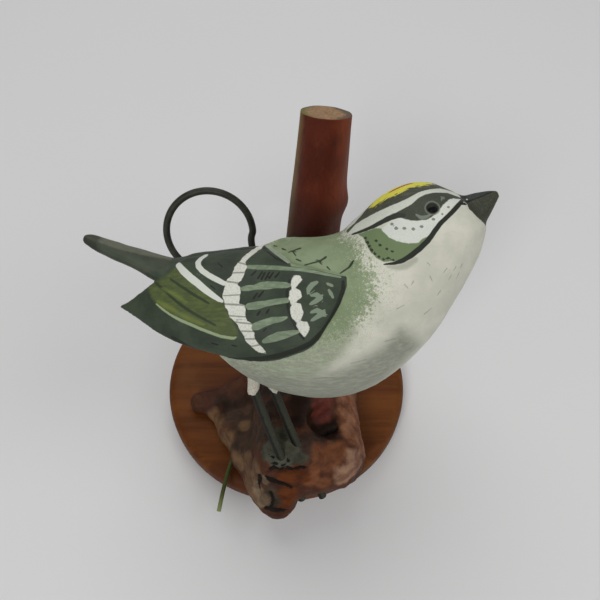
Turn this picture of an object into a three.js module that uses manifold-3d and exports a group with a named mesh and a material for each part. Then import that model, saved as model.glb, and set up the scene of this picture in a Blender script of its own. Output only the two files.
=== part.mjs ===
// Carved and painted kinglet on wire legs, standing on a root burl with an upright stick, on a round
// wood base. Millimetres, +Z up. The origin is the centre of the base's underside. The bird looks along +X,
// and the burl's front, with the broken face, looks along -Y.

import * as THREE from 'three';
import { mergeVertices } from 'three/addons/utils/BufferGeometryUtils.js';
import Module from 'manifold-3d';

const wasm = await Module();
wasm.setup();

// Driving dimensions

const FIT = 0.3; // clearance between pieces that touch or pass through each other

const BASE_RADIUS = 38;
const BASE_THICKNESS = 9;
const BASE_RIM = 3; // radius of the softened rim
const BASE_SIDES = 48;

const WIRE_RADIUS = 1.15; // legs
const RING_WIRE_RADIUS = 1.1;
const RING_RADIUS = 13.4; // to the middle of the wire
const STEM_RADIUS = 0.6;

const EYE_RADIUS = 1.5;

const BIRD_CENTRE = [4.4, -11.8, 62.8];
const BIRD_LEAN_BACK = THREE.MathUtils.degToRad(33); // turn about the line from tail to beak

const BURL_LOW = [-34, -50, -2]; // the space that holds the burl
const BURL_HIGH = [28, 30, 46];
const BURL_CELL = 2.9; // facet size of the burl
const BURL_BLEND = 4.5; // how softly its knobs run into each other
const LIMB_BLEND = 2; // and the lengths of one limb
const HOLLOW_BLEND = 3;
const BREAK_BLEND = 1.5;
const STICK_BLEND = 6;

// Helpers: solids, joins and cuts

function toSolid(geometry) {
  const bare = geometry.index ? geometry.clone() : mergeVertices(geometry);
  bare.deleteAttribute('normal');
  bare.deleteAttribute('uv');
  const merged = mergeVertices(bare, 1e-4);
  return new wasm.Manifold(new wasm.Mesh({
    numProp: 3,
    vertProperties: new Float32Array(merged.attributes.position.array),
    triVerts: new Uint32Array(merged.index.array),
  }));
}

function toGeometry(solid) {
  const mesh = solid.getMesh();
  const geometry = new THREE.BufferGeometry();
  geometry.setAttribute('position', new THREE.Float32BufferAttribute(mesh.vertProperties, 3));
  geometry.setIndex(new THREE.Uint32BufferAttribute(mesh.triVerts, 1));
  geometry.computeVertexNormals();
  return geometry;
}

function joined(geometries) {
  return geometries.map(toSolid).reduce((whole, piece) => whole.add(piece));
}

function cutBy(solid, geometries) {
  return geometries.map(toSolid).reduce((whole, cutter) => whole.subtract(cutter), solid);
}

function material(colour, roughness, metalness = 0) {
  return new THREE.MeshStandardMaterial({ color: colour, roughness, metalness });
}

function piece(name, geometry, look) {
  const mesh = new THREE.Mesh(geometry, look);
  mesh.name = name;
  return mesh;
}

// A smooth curve through the rows of a table, each row an array of numbers; t runs from 0 to 1.

function along(rows, t) {
  const place = t * (rows.length - 1);
  const i = Math.min(Math.floor(place), rows.length - 2);
  const f = place - i;
  const before = rows[Math.max(i - 1, 0)];
  const after = rows[Math.min(i + 2, rows.length - 1)];
  return rows[i].map((start, k) => {
    const end = rows[i + 1][k];
    const leave = (end - before[k]) / 2;
    const arrive = (after[k] - start) / 2;
    const bend = 3 * (end - start) - 2 * leave - arrive;
    const ease = 2 * (start - end) + leave + arrive;
    return start + f * (leave + f * (bend + f * ease));
  });
}

// Six times the volume inside a closed skin, negative where its faces point inwards.

function volume6(positions, index) {
  let sum = 0;
  for (let i = 0; i < index.length; i += 3) {
    const [a, b, c] = [0, 1, 2].map((k) => new THREE.Vector3().fromArray(positions, 3 * index[i + k]));
    sum += a.dot(b.cross(c));
  }
  return sum;
}

// A closed skin over rings of equal count, with a middle point at each end.

function skin(rings) {
  const count = rings[0].length;
  const positions = rings.flat().flatMap((p) => [p.x, p.y, p.z]);
  const index = [];
  for (let j = 0; j < rings.length - 1; j += 1) {
    for (let i = 0; i < count; i += 1) {
      const a = j * count + i;
      const b = j * count + (i + 1) % count;
      index.push(a, b, a + count, b, b + count, a + count);
    }
  }
  [0, rings.length - 1].forEach((j) => {
    const middle = new THREE.Vector3();
    rings[j].forEach((p) => middle.addScaledVector(p, 1 / count));
    const hub = positions.length / 3;
    positions.push(middle.x, middle.y, middle.z);
    for (let i = 0; i < count; i += 1) {
      const a = j * count + i;
      const b = j * count + (i + 1) % count;
      index.push(...(j === 0 ? [hub, b, a] : [hub, a, b]));
    }
  });
  const geometry = new THREE.BufferGeometry();
  geometry.setAttribute('position', new THREE.Float32BufferAttribute(positions, 3));
  geometry.setIndex(volume6(positions, index) < 0 ? index.reverse() : index);
  return geometry;
}

// A round wire along a path of points.

function wire(points, radius, steps, sides = 8) {
  const circle = new THREE.Shape();
  circle.absarc(0, 0, radius, 0, Math.PI * 2);
  return new THREE.ExtrudeGeometry(circle, {
    steps,
    curveSegments: sides / 2,
    bevelEnabled: false,
    extrudePath: new THREE.CatmullRomCurve3(points.map((p) => new THREE.Vector3(...p))),
  });
}

// The hole that a wire passes through, a little wider than the wire and a little past its first end.

function bore(points, radius, steps) {
  const end = new THREE.Vector3(...points[0]);
  end.add(end.clone().sub(new THREE.Vector3(...points[1])).setLength(FIT));
  return wire([end.toArray(), ...points.slice(1)], radius + FIT, steps);
}

// Base: a turned disc with a softened rim

function baseGeometry() {
  const profile = [new THREE.Vector2(0, 0)];
  for (const [height, turn] of [[BASE_RIM, -90], [BASE_THICKNESS - BASE_RIM, 0]]) {
    for (let k = 0; k <= 3; k += 1) {
      const angle = THREE.MathUtils.degToRad(turn + k * 30);
      profile.push(new THREE.Vector2(
        BASE_RADIUS - BASE_RIM + BASE_RIM * Math.cos(angle),
        height + BASE_RIM * Math.sin(angle),
      ));
    }
  }
  profile.push(new THREE.Vector2(0, BASE_THICKNESS));
  const geometry = new THREE.LatheGeometry(profile, BASE_SIDES);
  geometry.rotateX(Math.PI / 2);
  return geometry;
}

// Burl and stick, one piece of wood: knobs and roots that run into each other.
// Each limb is a chain of [x, y, z, radius].

// Stations up the stick from its root to its cut top: x, y, z, radius.
const STICK = [
  [5.6, 12.6, 18, 8.9],
  [7, 18.5, 36, 8],
  [8.4, 24.5, 52.9, 7.6],
  [9.6, 29.2, 66, 7.3],
  [11, 35.6, 84.6, 6.65],
];
const STICK_KNOT = { share: 0.69, width: 0.06, turn: -10, height: 1.1 }; // a healed knot on its right
const STICK_SLANT = { rise: 0.24, from: 8 }; // its top is cut aslant: it rises to the front by this share
const STICK_SIDES = 20;
const STICK_STEPS = 16;

const LIMBS = [
  [[4, -2, 13, 15], [5, -18, 14, 14]], // the mound under the bird
  [[12.6, -8, 13, 9.4], [13, -26, 15, 9.2]], // its right side
  [[13.4, -29.6, 16.4, 8.7], [12.9, -30.4, 17, 8.4]], // the round right lobe
  [[1.5, -18, 20, 9.5], [0.6, -32, 22.2, 8.9]], // the platform under the feet
  [[4, -30, 20, 8.5], [7.4, -33.2, 18.6, 6.6]], // its right shoulder, where the wires come out below
  [[-1, -34.5, 18.4, 8], [-1.8, -41.4, 16.4, 5.2]], // the broken nose
  [[2, -4, 12, 9], [-15, -9.5, 11.5, 5.4], [-26.4, -10.2, 10.8, 3.3]], // the left root
  [[-17, -14.5, 11.2, 5.2], [-14.4, -20, 12, 5], [-9.4, -27, 13.2, 6], [-5.6, -37.5, 14.8, 4.6]], // left flank
  [[5, 10, 12, 10], [19, 17, 10, 4]], // the roots behind
  [[5, 10, 12, 10], [-9, 20, 10, 4]],
];

const HOLLOWS = [[11.4, -22.2, 26.6, 4.7], [-1, -9, 34, 8.5], [-15.6, -9.4, 20, 5], [-21.6, -13.4, 16.2, 3]];

const BROKEN_FACE = { point: [0, -37.4, 29], normal: [0.1, -0.81, 0.578] };

function limbDistance(p, start, end) {
  const run = [0, 1, 2].map((k) => end[k] - start[k]);
  const reach = [0, 1, 2].map((k) => p[k] - start[k]);
  const length2 = run.reduce((sum, v) => sum + v * v, 0);
  const t = Math.min(1, Math.max(0, run.reduce((sum, v, k) => sum + v * reach[k], 0) / length2));
  const off = Math.hypot(...reach.map((v, k) => v - t * run[k]));
  return off - (start[3] + t * (end[3] - start[3]));
}

function softMin(a, b, blend) {
  const h = Math.max(blend - Math.abs(a - b), 0) / blend;
  return Math.min(a, b) - h * h * blend / 4;
}

function planeSide(p, { point, normal }) {
  return normal.reduce((sum, n, k) => sum + n * (p[k] - point[k]), 0);
}

function burlField(p) {
  let field = 1e3;
  LIMBS.forEach((chain) => {
    let limb = 1e3;
    for (let i = 0; i < chain.length - 1; i += 1) {
      limb = softMin(limb, limbDistance(p, chain[i], chain[i + 1]), LIMB_BLEND);
    }
    field = softMin(field, limb, BURL_BLEND);
  });
  HOLLOWS.forEach(([x, y, z, radius]) => {
    const dent = radius - Math.hypot(p[0] - x, p[1] - y, p[2] - z);
    field = -softMin(-field, -dent, HOLLOW_BLEND);
  });
  field = -softMin(-field, -planeSide(p, BROKEN_FACE), BREAK_BLEND);
  field = softMin(field, limbDistance(p, STICK[0], STICK[1]), STICK_BLEND);
  return Math.max(field, BASE_THICKNESS / 2 - p[2]);
}

// A closed skin where a field changes sign, one point in each cell that the surface crosses.

function surface(field, low, high, cell) {
  const n = low.map((v, k) => Math.ceil((high[k] - v) / cell) + 1);
  const at = (i, j, k) => (k * n[1] + j) * n[0] + i;
  const values = new Float32Array(n[0] * n[1] * n[2]);
  for (let k = 0; k < n[2]; k += 1) {
    for (let j = 0; j < n[1]; j += 1) {
      for (let i = 0; i < n[0]; i += 1) {
        values[at(i, j, k)] = field([low[0] + i * cell, low[1] + j * cell, low[2] + k * cell]);
      }
    }
  }
  const corners = [0, 1, 2, 3, 4, 5, 6, 7].map((c) => [c & 1, (c >> 1) & 1, (c >> 2) & 1]);
  const edges = corners.flatMap((a, i) => corners.slice(i + 1)
    .filter((b) => Math.abs(a[0] - b[0]) + Math.abs(a[1] - b[1]) + Math.abs(a[2] - b[2]) === 1)
    .map((b) => [a, b]));
  const positions = [];
  const pointOf = new Map();
  for (let k = 0; k < n[2] - 1; k += 1) {
    for (let j = 0; j < n[1] - 1; j += 1) {
      for (let i = 0; i < n[0] - 1; i += 1) {
        const sum = [0, 0, 0];
        let crossings = 0;
        edges.forEach(([a, b]) => {
          const va = values[at(i + a[0], j + a[1], k + a[2])];
          const vb = values[at(i + b[0], j + b[1], k + b[2])];
          if ((va < 0) === (vb < 0)) return;
          const f = va / (va - vb);
          [0, 1, 2].forEach((axis) => { sum[axis] += a[axis] + f * (b[axis] - a[axis]); });
          crossings += 1;
        });
        if (crossings) {
          pointOf.set(at(i, j, k), positions.length / 3);
          positions.push(...[i, j, k].map((v, axis) => low[axis] + cell * (v + sum[axis] / crossings)));
        }
      }
    }
  }
  const index = [];
  for (let k = 1; k < n[2] - 1; k += 1) {
    for (let j = 1; j < n[1] - 1; j += 1) {
      for (let i = 1; i < n[0] - 1; i += 1) {
        const here = values[at(i, j, k)] < 0;
        [[0, 1, 2], [1, 2, 0], [2, 0, 1]].forEach(([axis, u, v]) => {
          const next = [i, j, k];
          next[axis] += 1;
          if (here === (values[at(...next)] < 0)) return;
          const around = [[0, 0], [-1, 0], [-1, -1], [0, -1]].map(([du, dv]) => {
            const c = [i, j, k];
            c[u] += du;
            c[v] += dv;
            return pointOf.get(at(...c));
          });
          const [a, b, c, d] = here ? around : around.reverse();
          index.push(a, b, c, a, c, d);
        });
      }
    }
  }
  const geometry = new THREE.BufferGeometry();
  geometry.setAttribute('position', new THREE.Float32BufferAttribute(positions, 3));
  geometry.setIndex(index);
  return geometry;
}

function stickGeometry() {
  const start = new THREE.Vector3(...STICK[0]);
  const end = new THREE.Vector3(...STICK[STICK.length - 1]);
  const up = end.clone().sub(start).normalize();
  const across = new THREE.Vector3(1, 0, 0).addScaledVector(up, -up.x).normalize();
  const back = new THREE.Vector3().crossVectors(up, across);
  const rings = [];
  for (let j = 0; j <= STICK_STEPS; j += 1) {
    const share = j / STICK_STEPS;
    const [x, y, z, radius] = along(STICK, share);
    const ring = [];
    for (let i = 0; i < STICK_SIDES; i += 1) {
      const angle = (i / STICK_SIDES) * Math.PI * 2;
      const turned = Math.cos(angle - THREE.MathUtils.degToRad(STICK_KNOT.turn));
      const near = Math.exp(-(((share - STICK_KNOT.share) / STICK_KNOT.width) ** 2));
      const reach = radius + STICK_KNOT.height * near * Math.max(0, turned) ** 4;
      const rise = STICK_SLANT.rise * reach * (1 - Math.sin(angle)) * share ** STICK_SLANT.from;
      ring.push(new THREE.Vector3(x, y, z)
        .addScaledVector(across, reach * Math.cos(angle))
        .addScaledVector(back, reach * Math.sin(angle))
        .addScaledVector(up, rise));
    }
    rings.push(ring);
  }
  return skin(rings);
}

// Legs and other wires, each a path of points from its hidden end

const LEG_STEPS = 10;
const RING_STEPS = 54;
const STEM_STEPS = 8;

const RIGHT_LEG = [[-6.6, -22.3, 54.6], [-6.5, -25.2, 49.2], [-0.3, -34.8, 29.4], [5, -41.4, 16.7]];
const LEFT_LEG = [[-4.5, -18.8, 50.9], [-2.1, -22.5, 44.6], [3.6, -31.0, 30.2], [10.7, -40.5, 15.8]];

const RING_CENTRE = new THREE.Vector3(-23.6, 33.4, 41.1);
const RING_ACROSS = new THREE.Vector3(1, 0, 0);
const RING_UP = new THREE.Vector3(0, 0.5, 0.866);
const RING_ROOT = [[-4.5, 13.5, 11.8], [-5.6, 16.5, 19], [-7.6, 22, 28]];
const RING_TURNS = { first: -16, last: 312, step: 20.5 }; // degrees round the ring

function ringPoint(degrees) {
  const angle = THREE.MathUtils.degToRad(degrees);
  return RING_CENTRE.clone()
    .addScaledVector(RING_ACROSS, RING_RADIUS * Math.cos(angle))
    .addScaledVector(RING_UP, RING_RADIUS * Math.sin(angle))
    .toArray();
}

function ringPath() {
  const path = [...RING_ROOT];
  for (let turn = RING_TURNS.first; turn <= RING_TURNS.last; turn += RING_TURNS.step) {
    path.push(ringPoint(turn));
  }
  return path;
}

const STEM = [[-11.8, -24.6, 12.6], [-15.2, -28.2, 12.2], [-17.2, -36, 11.9], [-18.4, -43.4, 11.4]];

// Bird, in its own frame: +X to the beak, +Z up its back, -Y its right side.
// Ribs of the body from the tail to the beak: back x, z; belly x, z; half width.

const RIBS = [
  [-35, 13.6, -35, 12.2, 1.2],
  [-31.5, 14.4, -32, 10.2, 4],
  [-27, 14.9, -28.5, 5.6, 7.4],
  [-21, 15.2, -23, -2.6, 11.2],
  [-14.5, 15.8, -16.6, -10.2, 14.4],
  [-7.5, 16.9, -9.4, -15.1, 16.8],
  [-0.5, 19, -1.4, -17.9, 18.1],
  [5.2, 19.4, 7.6, -18.6, 18.5],
  [9.4, 20.6, 16.4, -16.2, 18.1],
  [12.4, 23.4, 24.4, -10.6, 17],
  [15.8, 26.8, 31.2, -2.6, 15.6],
  [19.6, 30.1, 36, 6.2, 13.8],
  [24.2, 32.2, 39.2, 13.6, 12.2],
  [29.2, 32.3, 40.9, 18.8, 10.2],
  [33.4, 31, 41.6, 22.4, 7.4],
  [36.2, 29.7, 41.7, 23.9, 4.3],
  [39, 30.3, 42.6, 25.8, 2.9],
  [41.6, 30.8, 43.6, 28, 1.8],
  [43.6, 31, 44.3, 29.8, 0.7],
];
const RIB_FULLNESS = 2.15; // 2 is an ellipse, more is squarer
const RIB_SIDES = 26;
const RIB_STEPS = 28;

// Wing from tip to wrist: x; half width, half height and middle height of the hull that it lies on; and the
// angles of its upper and lower edges on that hull, in degrees from the top.

const WING = [
  [-40.6, 8.4, 3, 5.7, 72, 80],
  [-36, 10.3, 6.6, 4.9, 46, 97],
  [-31.4, 12.5, 10, 3.8, 26, 103],
  [-26.2, 14.3, 12.9, 2.7, 2, 104],
  [-20, 16.3, 13.9, 2.1, -8, 105],
  [-14, 17.7, 15.3, 1.5, -8, 105],
  [-8.4, 18.6, 16.3, 1.1, -3, 103],
  [-2.8, 19.3, 19.1, 0.8, 26, 95],
  [2.4, 19.6, 19.7, 0.8, 34, 86],
  [5.6, 19.6, 20.1, 0.9, 38, 73],
  [8.2, 19.4, 20.2, 1.1, 41, 61],
  [9.7, 19.2, 20.2, 1.2, 44, 50],
];
const WING_THICKNESS = 2.4;
const WING_HEM = 0.7; // its thickness at the upper and lower edges, as a share
const LEFT_WING_SHORTER = { from: -20, share: 0.2 }; // its tip lies further in than the right one's
const LEFT_WING_TUCK = 8; // its upper edge starts below the right one's, in degrees from the top
const WING_LENGTH_STEPS = 20;
const WING_WIDTH_STEPS = 6;

// Tail: x, z of its middle line, half width, half thickness.

const TAIL = [
  [-24, 10.6, 6.6, 2.8],
  [-31, 12.2, 6, 2.45],
  [-38, 15.2, 4.4, 1.8],
  [-45, 18.1, 2.9, 1.6],
  [-48.2, 19.6, 1.8, 1.2],
  [-49.4, 20, 0.9, 0.6],
];
const TAIL_SIDES = 16;
const TAIL_SLANT = 0.33; // how far its rings lean along it

const TUFT = { top: 2.2, hem: 1.8, pastKnee: 0.6, sides: 10 }; // radii, and its reach down the leg

const EYE = { x: 27.7, side: 8.6, z: 28.7 };

function bodyGeometry() {
  const rings = [];
  for (let j = 0; j <= RIB_STEPS; j += 1) {
    const [backX, backZ, bellyX, bellyZ, half] = along(RIBS, j / RIB_STEPS);
    const ring = [];
    for (let i = 0; i < RIB_SIDES; i += 1) {
      const angle = (i / RIB_SIDES) * Math.PI * 2;
      const round = (v) => Math.sign(v) * Math.abs(v) ** (2 / RIB_FULLNESS);
      const up = (1 + round(Math.cos(angle))) / 2;
      ring.push(new THREE.Vector3(
        bellyX + up * (backX - bellyX),
        half * round(Math.sin(angle)),
        bellyZ + up * (backZ - bellyZ),
      ));
    }
    rings.push(ring);
  }
  return skin(rings);
}

function wingGeometry(side) {
  const rings = [];
  for (let j = 0; j <= WING_LENGTH_STEPS; j += 1) {
    const [station, halfWidth, halfHeight, middle, top, bottom] = along(WING, j / WING_LENGTH_STEPS);
    const past = Math.max(0, LEFT_WING_SHORTER.from - station);
    const x = side < 0 ? station : station + LEFT_WING_SHORTER.share * past;
    const upper = side < 0 ? top : Math.max(top, LEFT_WING_TUCK);
    const outer = [];
    const inner = [];
    for (let i = 0; i <= WING_WIDTH_STEPS; i += 1) {
      const share = i / WING_WIDTH_STEPS;
      const angle = THREE.MathUtils.degToRad(upper + share * (bottom - upper));
      const thickness = WING_THICKNESS * (i === 0 || i === WING_WIDTH_STEPS ? WING_HEM : 1);
      const place = (depth) => new THREE.Vector3(
        x,
        side * (halfWidth - depth) * Math.sin(angle),
        middle + (halfHeight - depth) * Math.cos(angle),
      );
      outer.push(place((WING_THICKNESS - thickness) / 2));
      inner.push(place((WING_THICKNESS + thickness) / 2));
    }
    rings.push([...outer, ...inner.reverse()]);
  }
  return skin(rings);
}

function tailGeometry() {
  const rings = TAIL.map(([x, z, halfWidth, halfThickness]) => {
    const ring = [];
    for (let i = 0; i < TAIL_SIDES; i += 1) {
      const angle = (i / TAIL_SIDES) * Math.PI * 2;
      ring.push(new THREE.Vector3(
        x + TAIL_SLANT * halfThickness * Math.cos(angle),
        -halfWidth * Math.sin(angle),
        z + halfThickness * Math.cos(angle),
      ));
    }
    return ring;
  });
  return skin(rings);
}

const bird = new THREE.Group();
bird.position.set(...BIRD_CENTRE);
bird.rotation.x = -BIRD_LEAN_BACK;
bird.updateMatrixWorld(true);

function inBirdFrame(point) {
  return bird.worldToLocal(new THREE.Vector3(...point));
}

// A straight round bar between two points, as a cone if its ends differ.

function bar(start, end, startRadius, endRadius, sides) {
  const length = start.distanceTo(end);
  const geometry = new THREE.CylinderGeometry(endRadius, startRadius, length, sides);
  geometry.applyQuaternion(new THREE.Quaternion().setFromUnitVectors(
    new THREE.Vector3(0, 1, 0),
    end.clone().sub(start).normalize(),
  ));
  const middle = start.clone().lerp(end, 0.5);
  geometry.translate(middle.x, middle.y, middle.z);
  return geometry;
}

function bead(radius) {
  return new THREE.SphereGeometry(radius, 12, 8);
}

function eyeCentre(side) {
  return new THREE.Vector3(EYE.x, side * EYE.side, EYE.z);
}

function birdGeometry() {
  const tufts = [RIGHT_LEG, LEFT_LEG].map((leg) => {
    const top = inBirdFrame(leg[0]);
    const knee = inBirdFrame(leg[1]);
    const hem = knee.clone().add(knee.clone().sub(top).setLength(TUFT.pastKnee));
    return bar(top, hem, TUFT.top, TUFT.hem, TUFT.sides);
  });
  const whole = joined([bodyGeometry(), wingGeometry(-1), wingGeometry(1), tailGeometry(), ...tufts]);
  const holes = [RIGHT_LEG, LEFT_LEG].map((leg) => bore(
    leg.map((point) => inBirdFrame(point).toArray()),
    WIRE_RADIUS,
    LEG_STEPS,
  ));
  const sockets = [-1, 1].map((side) => {
    const socket = bead(EYE_RADIUS + FIT);
    socket.translate(...eyeCentre(side).toArray());
    return socket;
  });
  return toGeometry(cutBy(whole, [...holes, ...sockets]));
}

function burlGeometry() {
  const rough = toSolid(surface(burlField, BURL_LOW, BURL_HIGH, BURL_CELL));
  const size = 4 * BASE_RADIUS;
  const below = new THREE.BoxGeometry(size, size, size);
  below.translate(0, 0, BASE_THICKNESS + FIT - size / 2);
  const holes = [
    bore(RIGHT_LEG, WIRE_RADIUS, LEG_STEPS),
    bore(LEFT_LEG, WIRE_RADIUS, LEG_STEPS),
    bore(ringPath(), RING_WIRE_RADIUS, RING_STEPS),
    bore(STEM, STEM_RADIUS, STEM_STEPS),
  ];
  return toGeometry(cutBy(rough.add(toSolid(stickGeometry())), [below, ...holes]));
}

const looks = {
  base: material('#6a3c1c', 0.35),
  burl: material('#7a4630', 0.45),
  paint: material('#a9b39c', 0.6),
  eye: material('#0c0c0c', 0.08),
  leg: material('#39423a', 0.5),
  ring: material('#3c3b34', 0.45, 0.6),
  stem: material('#4f7a2a', 0.6),
};

const kinglet = new THREE.Group();
kinglet.add(piece('base_disc', baseGeometry(), looks.base));
kinglet.add(piece('burl_and_stick', burlGeometry(), looks.burl));
bird.add(piece('bird', birdGeometry(), looks.paint));
[['right_eye', -1], ['left_eye', 1]].forEach(([name, side]) => {
  const eye = piece(name, bead(EYE_RADIUS), looks.eye);
  eye.position.copy(eyeCentre(side));
  bird.add(eye);
});
kinglet.add(bird);
kinglet.add(piece('right_leg', wire(RIGHT_LEG, WIRE_RADIUS, LEG_STEPS), looks.leg));
kinglet.add(piece('left_leg', wire(LEFT_LEG, WIRE_RADIUS, LEG_STEPS), looks.leg));
kinglet.add(piece('wire_ring', wire(ringPath(), RING_WIRE_RADIUS, RING_STEPS), looks.ring));
kinglet.add(piece('green_stem', wire(STEM, STEM_RADIUS, STEM_STEPS), looks.stem));

export default kinglet;
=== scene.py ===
import math

import bmesh
import bpy
import numpy as np
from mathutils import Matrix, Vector, noise
from mathutils.bvhtree import BVHTree


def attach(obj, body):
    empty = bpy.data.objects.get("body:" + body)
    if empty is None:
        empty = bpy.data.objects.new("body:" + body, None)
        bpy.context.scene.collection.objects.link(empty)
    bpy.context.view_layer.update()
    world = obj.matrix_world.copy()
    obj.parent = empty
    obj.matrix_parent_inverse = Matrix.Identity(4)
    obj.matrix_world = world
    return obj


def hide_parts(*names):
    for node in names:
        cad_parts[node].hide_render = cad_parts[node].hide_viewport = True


# Carved and painted kinglet on wire legs, on a root burl with an upright stick and a round wood base.
# Tables are in millimetres, in the same frame as the solids: +Z up, origin at the middle of the underside.
# The bird's tables are in its own frame: +X to the beak, +Z up its back, -Y its right side.

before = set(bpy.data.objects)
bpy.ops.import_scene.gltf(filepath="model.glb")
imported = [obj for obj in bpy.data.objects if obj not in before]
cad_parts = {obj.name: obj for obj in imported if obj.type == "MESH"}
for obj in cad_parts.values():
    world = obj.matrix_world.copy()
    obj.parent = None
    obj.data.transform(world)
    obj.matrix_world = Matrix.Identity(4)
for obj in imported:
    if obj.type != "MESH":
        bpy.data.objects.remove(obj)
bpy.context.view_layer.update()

MM = 0.001  # Blender's metres in one millimetre

# Sizes

BASE_RADIUS = 38
BASE_THICKNESS = 9
BASE_RIM = 3
WIRE_RADIUS = 1.15
RING_WIRE_RADIUS = 1.1
RING_RADIUS = 13.4
STEM_RADIUS = 0.6
EYE_RADIUS = 1.5

BIRD_CENTRE = np.array([4.4, -11.8, 62.8])
BIRD_LEAN_BACK = math.radians(33)
BIRD_VOXEL = 0.42  # mesh size of the bird's skin

RIBS = [  # body from tail to beak: back x, z; belly x, z; half width
    [-35, 13.6, -35, 12.2, 1.2],
    [-31.5, 14.4, -32, 10.2, 4],
    [-27, 14.9, -28.5, 5.6, 7.4],
    [-21, 15.2, -23, -2.6, 11.2],
    [-14.5, 15.8, -16.6, -10.2, 14.4],
    [-7.5, 16.9, -9.4, -15.1, 16.8],
    [-0.5, 19, -1.4, -17.9, 18.1],
    [5.2, 19.4, 7.6, -18.6, 18.5],
    [9.4, 20.6, 16.4, -16.2, 18.1],
    [12.4, 23.4, 24.4, -10.6, 17],
    [15.8, 26.8, 31.2, -2.6, 15.6],
    [19.6, 30.1, 36, 6.2, 13.8],
    [24.2, 32.2, 39.2, 13.6, 12.2],
    [29.2, 32.3, 40.9, 18.8, 10.2],
    [33.4, 31, 41.6, 22.4, 7.4],
    [36.2, 29.7, 41.7, 23.9, 4.3],
    [39, 30.3, 42.6, 25.8, 2.9],
    [41.6, 30.8, 43.6, 28, 1.8],
    [43.6, 31, 44.3, 29.8, 0.7],
]
RIB_FULLNESS = 2.15

WING = [  # tip to wrist: x; hull half width, half height, middle; angles of its two edges from the top
    [-40.6, 8.4, 3, 5.7, 72, 80],
    [-36, 10.3, 6.6, 4.9, 46, 97],
    [-31.4, 12.5, 10, 3.8, 26, 103],
    [-26.2, 14.3, 12.9, 2.7, 2, 104],
    [-20, 16.3, 13.9, 2.1, -8, 105],
    [-14, 17.7, 15.3, 1.5, -8, 105],
    [-8.4, 18.6, 16.3, 1.1, -3, 103],
    [-2.8, 19.3, 19.1, 0.8, 26, 95],
    [2.4, 19.6, 19.7, 0.8, 34, 86],
    [5.6, 19.6, 20.1, 0.9, 38, 73],
    [8.2, 19.4, 20.2, 1.1, 41, 61],
    [9.7, 19.2, 20.2, 1.2, 44, 50],
]
WING_THICKNESS = 2.4
LEFT_WING_FROM = -20  # behind this the left wing is drawn in by the share below
LEFT_WING_SHARE = 0.2
LEFT_WING_TUCK = 8  # its upper edge starts below the right one's, in degrees from the top

TAIL = [  # x, z of its middle line, half width, half thickness
    [-24, 10.6, 6.6, 2.8],
    [-31, 12.2, 6, 2.45],
    [-38, 15.2, 4.4, 1.8],
    [-45, 18.1, 2.9, 1.6],
    [-48.2, 19.6, 1.8, 1.2],
    [-49.4, 20, 0.9, 0.6],
]
TAIL_SLANT = 0.33  # how far its rings lean along it

EYE = [27.7, 8.6, 28.7]  # x, distance from the middle plane, z

RIGHT_LEG = [[-6.6, -22.3, 54.6], [-6.5, -25.2, 49.2], [-0.3, -34.8, 29.4], [5, -41.4, 16.7]]
LEFT_LEG = [[-4.5, -18.8, 50.9], [-2.1, -22.5, 44.6], [3.6, -31, 30.2], [10.7, -40.5, 15.8]]
TUFT_TOP, TUFT_HEM = 1.8, 1.35
TUFT_PAST_KNEE = 0.7
RING_CENTRE = np.array([-23.6, 33.4, 41.1])
RING_ACROSS = np.array([1, 0, 0])
RING_UP = np.array([0, 0.5, 0.866])
RING_ROOT = [[-4.5, 13.5, 11.8], [-5.6, 16.5, 19], [-7.6, 22, 28]]
RING_TURNS = (-16, 312, 20.5)  # first and last angle and the step, in degrees
STEM = [[-11.8, -24.6, 12.6], [-15.2, -28.2, 12.2], [-17.2, -36, 11.9], [-18.4, -43.4, 11.4]]

STICK = [  # x, y, z, radius from the root to the cut top
    [5.6, 12.6, 18, 8.9],
    [7, 18.5, 36, 8],
    [8.4, 24.5, 52.9, 7.6],
    [9.6, 29.2, 66, 7.3],
    [11, 35.6, 84.6, 6.65],
]
STICK_RISE, STICK_RISE_FROM = 0.24, 8  # its top is cut aslant: it rises to the front by this share
KNOT_SHARE, KNOT_WIDTH, KNOT_TURN, KNOT_HEIGHT = 0.69, 0.06, -10, 1.1

BURL_LOW = [-34, -50, 0]
BURL_HIGH = [28, 30, 46]
BURL_CELL = 0.52
BURL_BLEND = 4.5
LIMBS = [
    [[4, -2, 13, 15], [5, -18, 14, 14]],
    [[12.6, -8, 13, 9.4], [13, -26, 15, 9.2]],
    [[13.4, -29.6, 16.4, 8.7], [12.9, -30.4, 17, 8.4]],
    [[1.5, -18, 20, 9.5], [0.6, -32, 22.2, 8.9]],
    [[4, -30, 20, 8.5], [7.4, -33.2, 18.6, 6.6]],
    [[-1, -34.5, 18.4, 8], [-1.8, -41.4, 16.4, 5.2]],
    [[2, -4, 12, 9], [-15, -9.5, 11.5, 5.4], [-26.4, -10.2, 10.8, 3.3]],
    [[-17, -14.5, 11.2, 5.2], [-14.4, -20, 12, 5], [-9.4, -27, 13.2, 6], [-5.6, -37.5, 14.8, 4.6]],
    [[5, 10, 12, 10], [19, 17, 10, 4]],
    [[5, 10, 12, 10], [-9, 20, 10, 4]],
]
RED_KNOB = [[9.8, -15.5, 21, 2.8], [9.4, -17.4, 21.8, 2.2]]  # a red bump beside the stick, too small for the solid
KNOB_BLEND = 1.2
BURL_CLEARANCE = 0.3  # between the burl and the base
HOLLOWS = [[11.4, -22.2, 26.6, 4.7], [-1, -9, 34, 8.5], [-15.6, -9.4, 20, 5], [-21.6, -13.4, 16.2, 3]]
BROKEN_POINT = np.array([0, -37.4, 29])
BROKEN_NORMAL = np.array([0.1, -0.81, 0.578])


# Shapes

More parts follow.
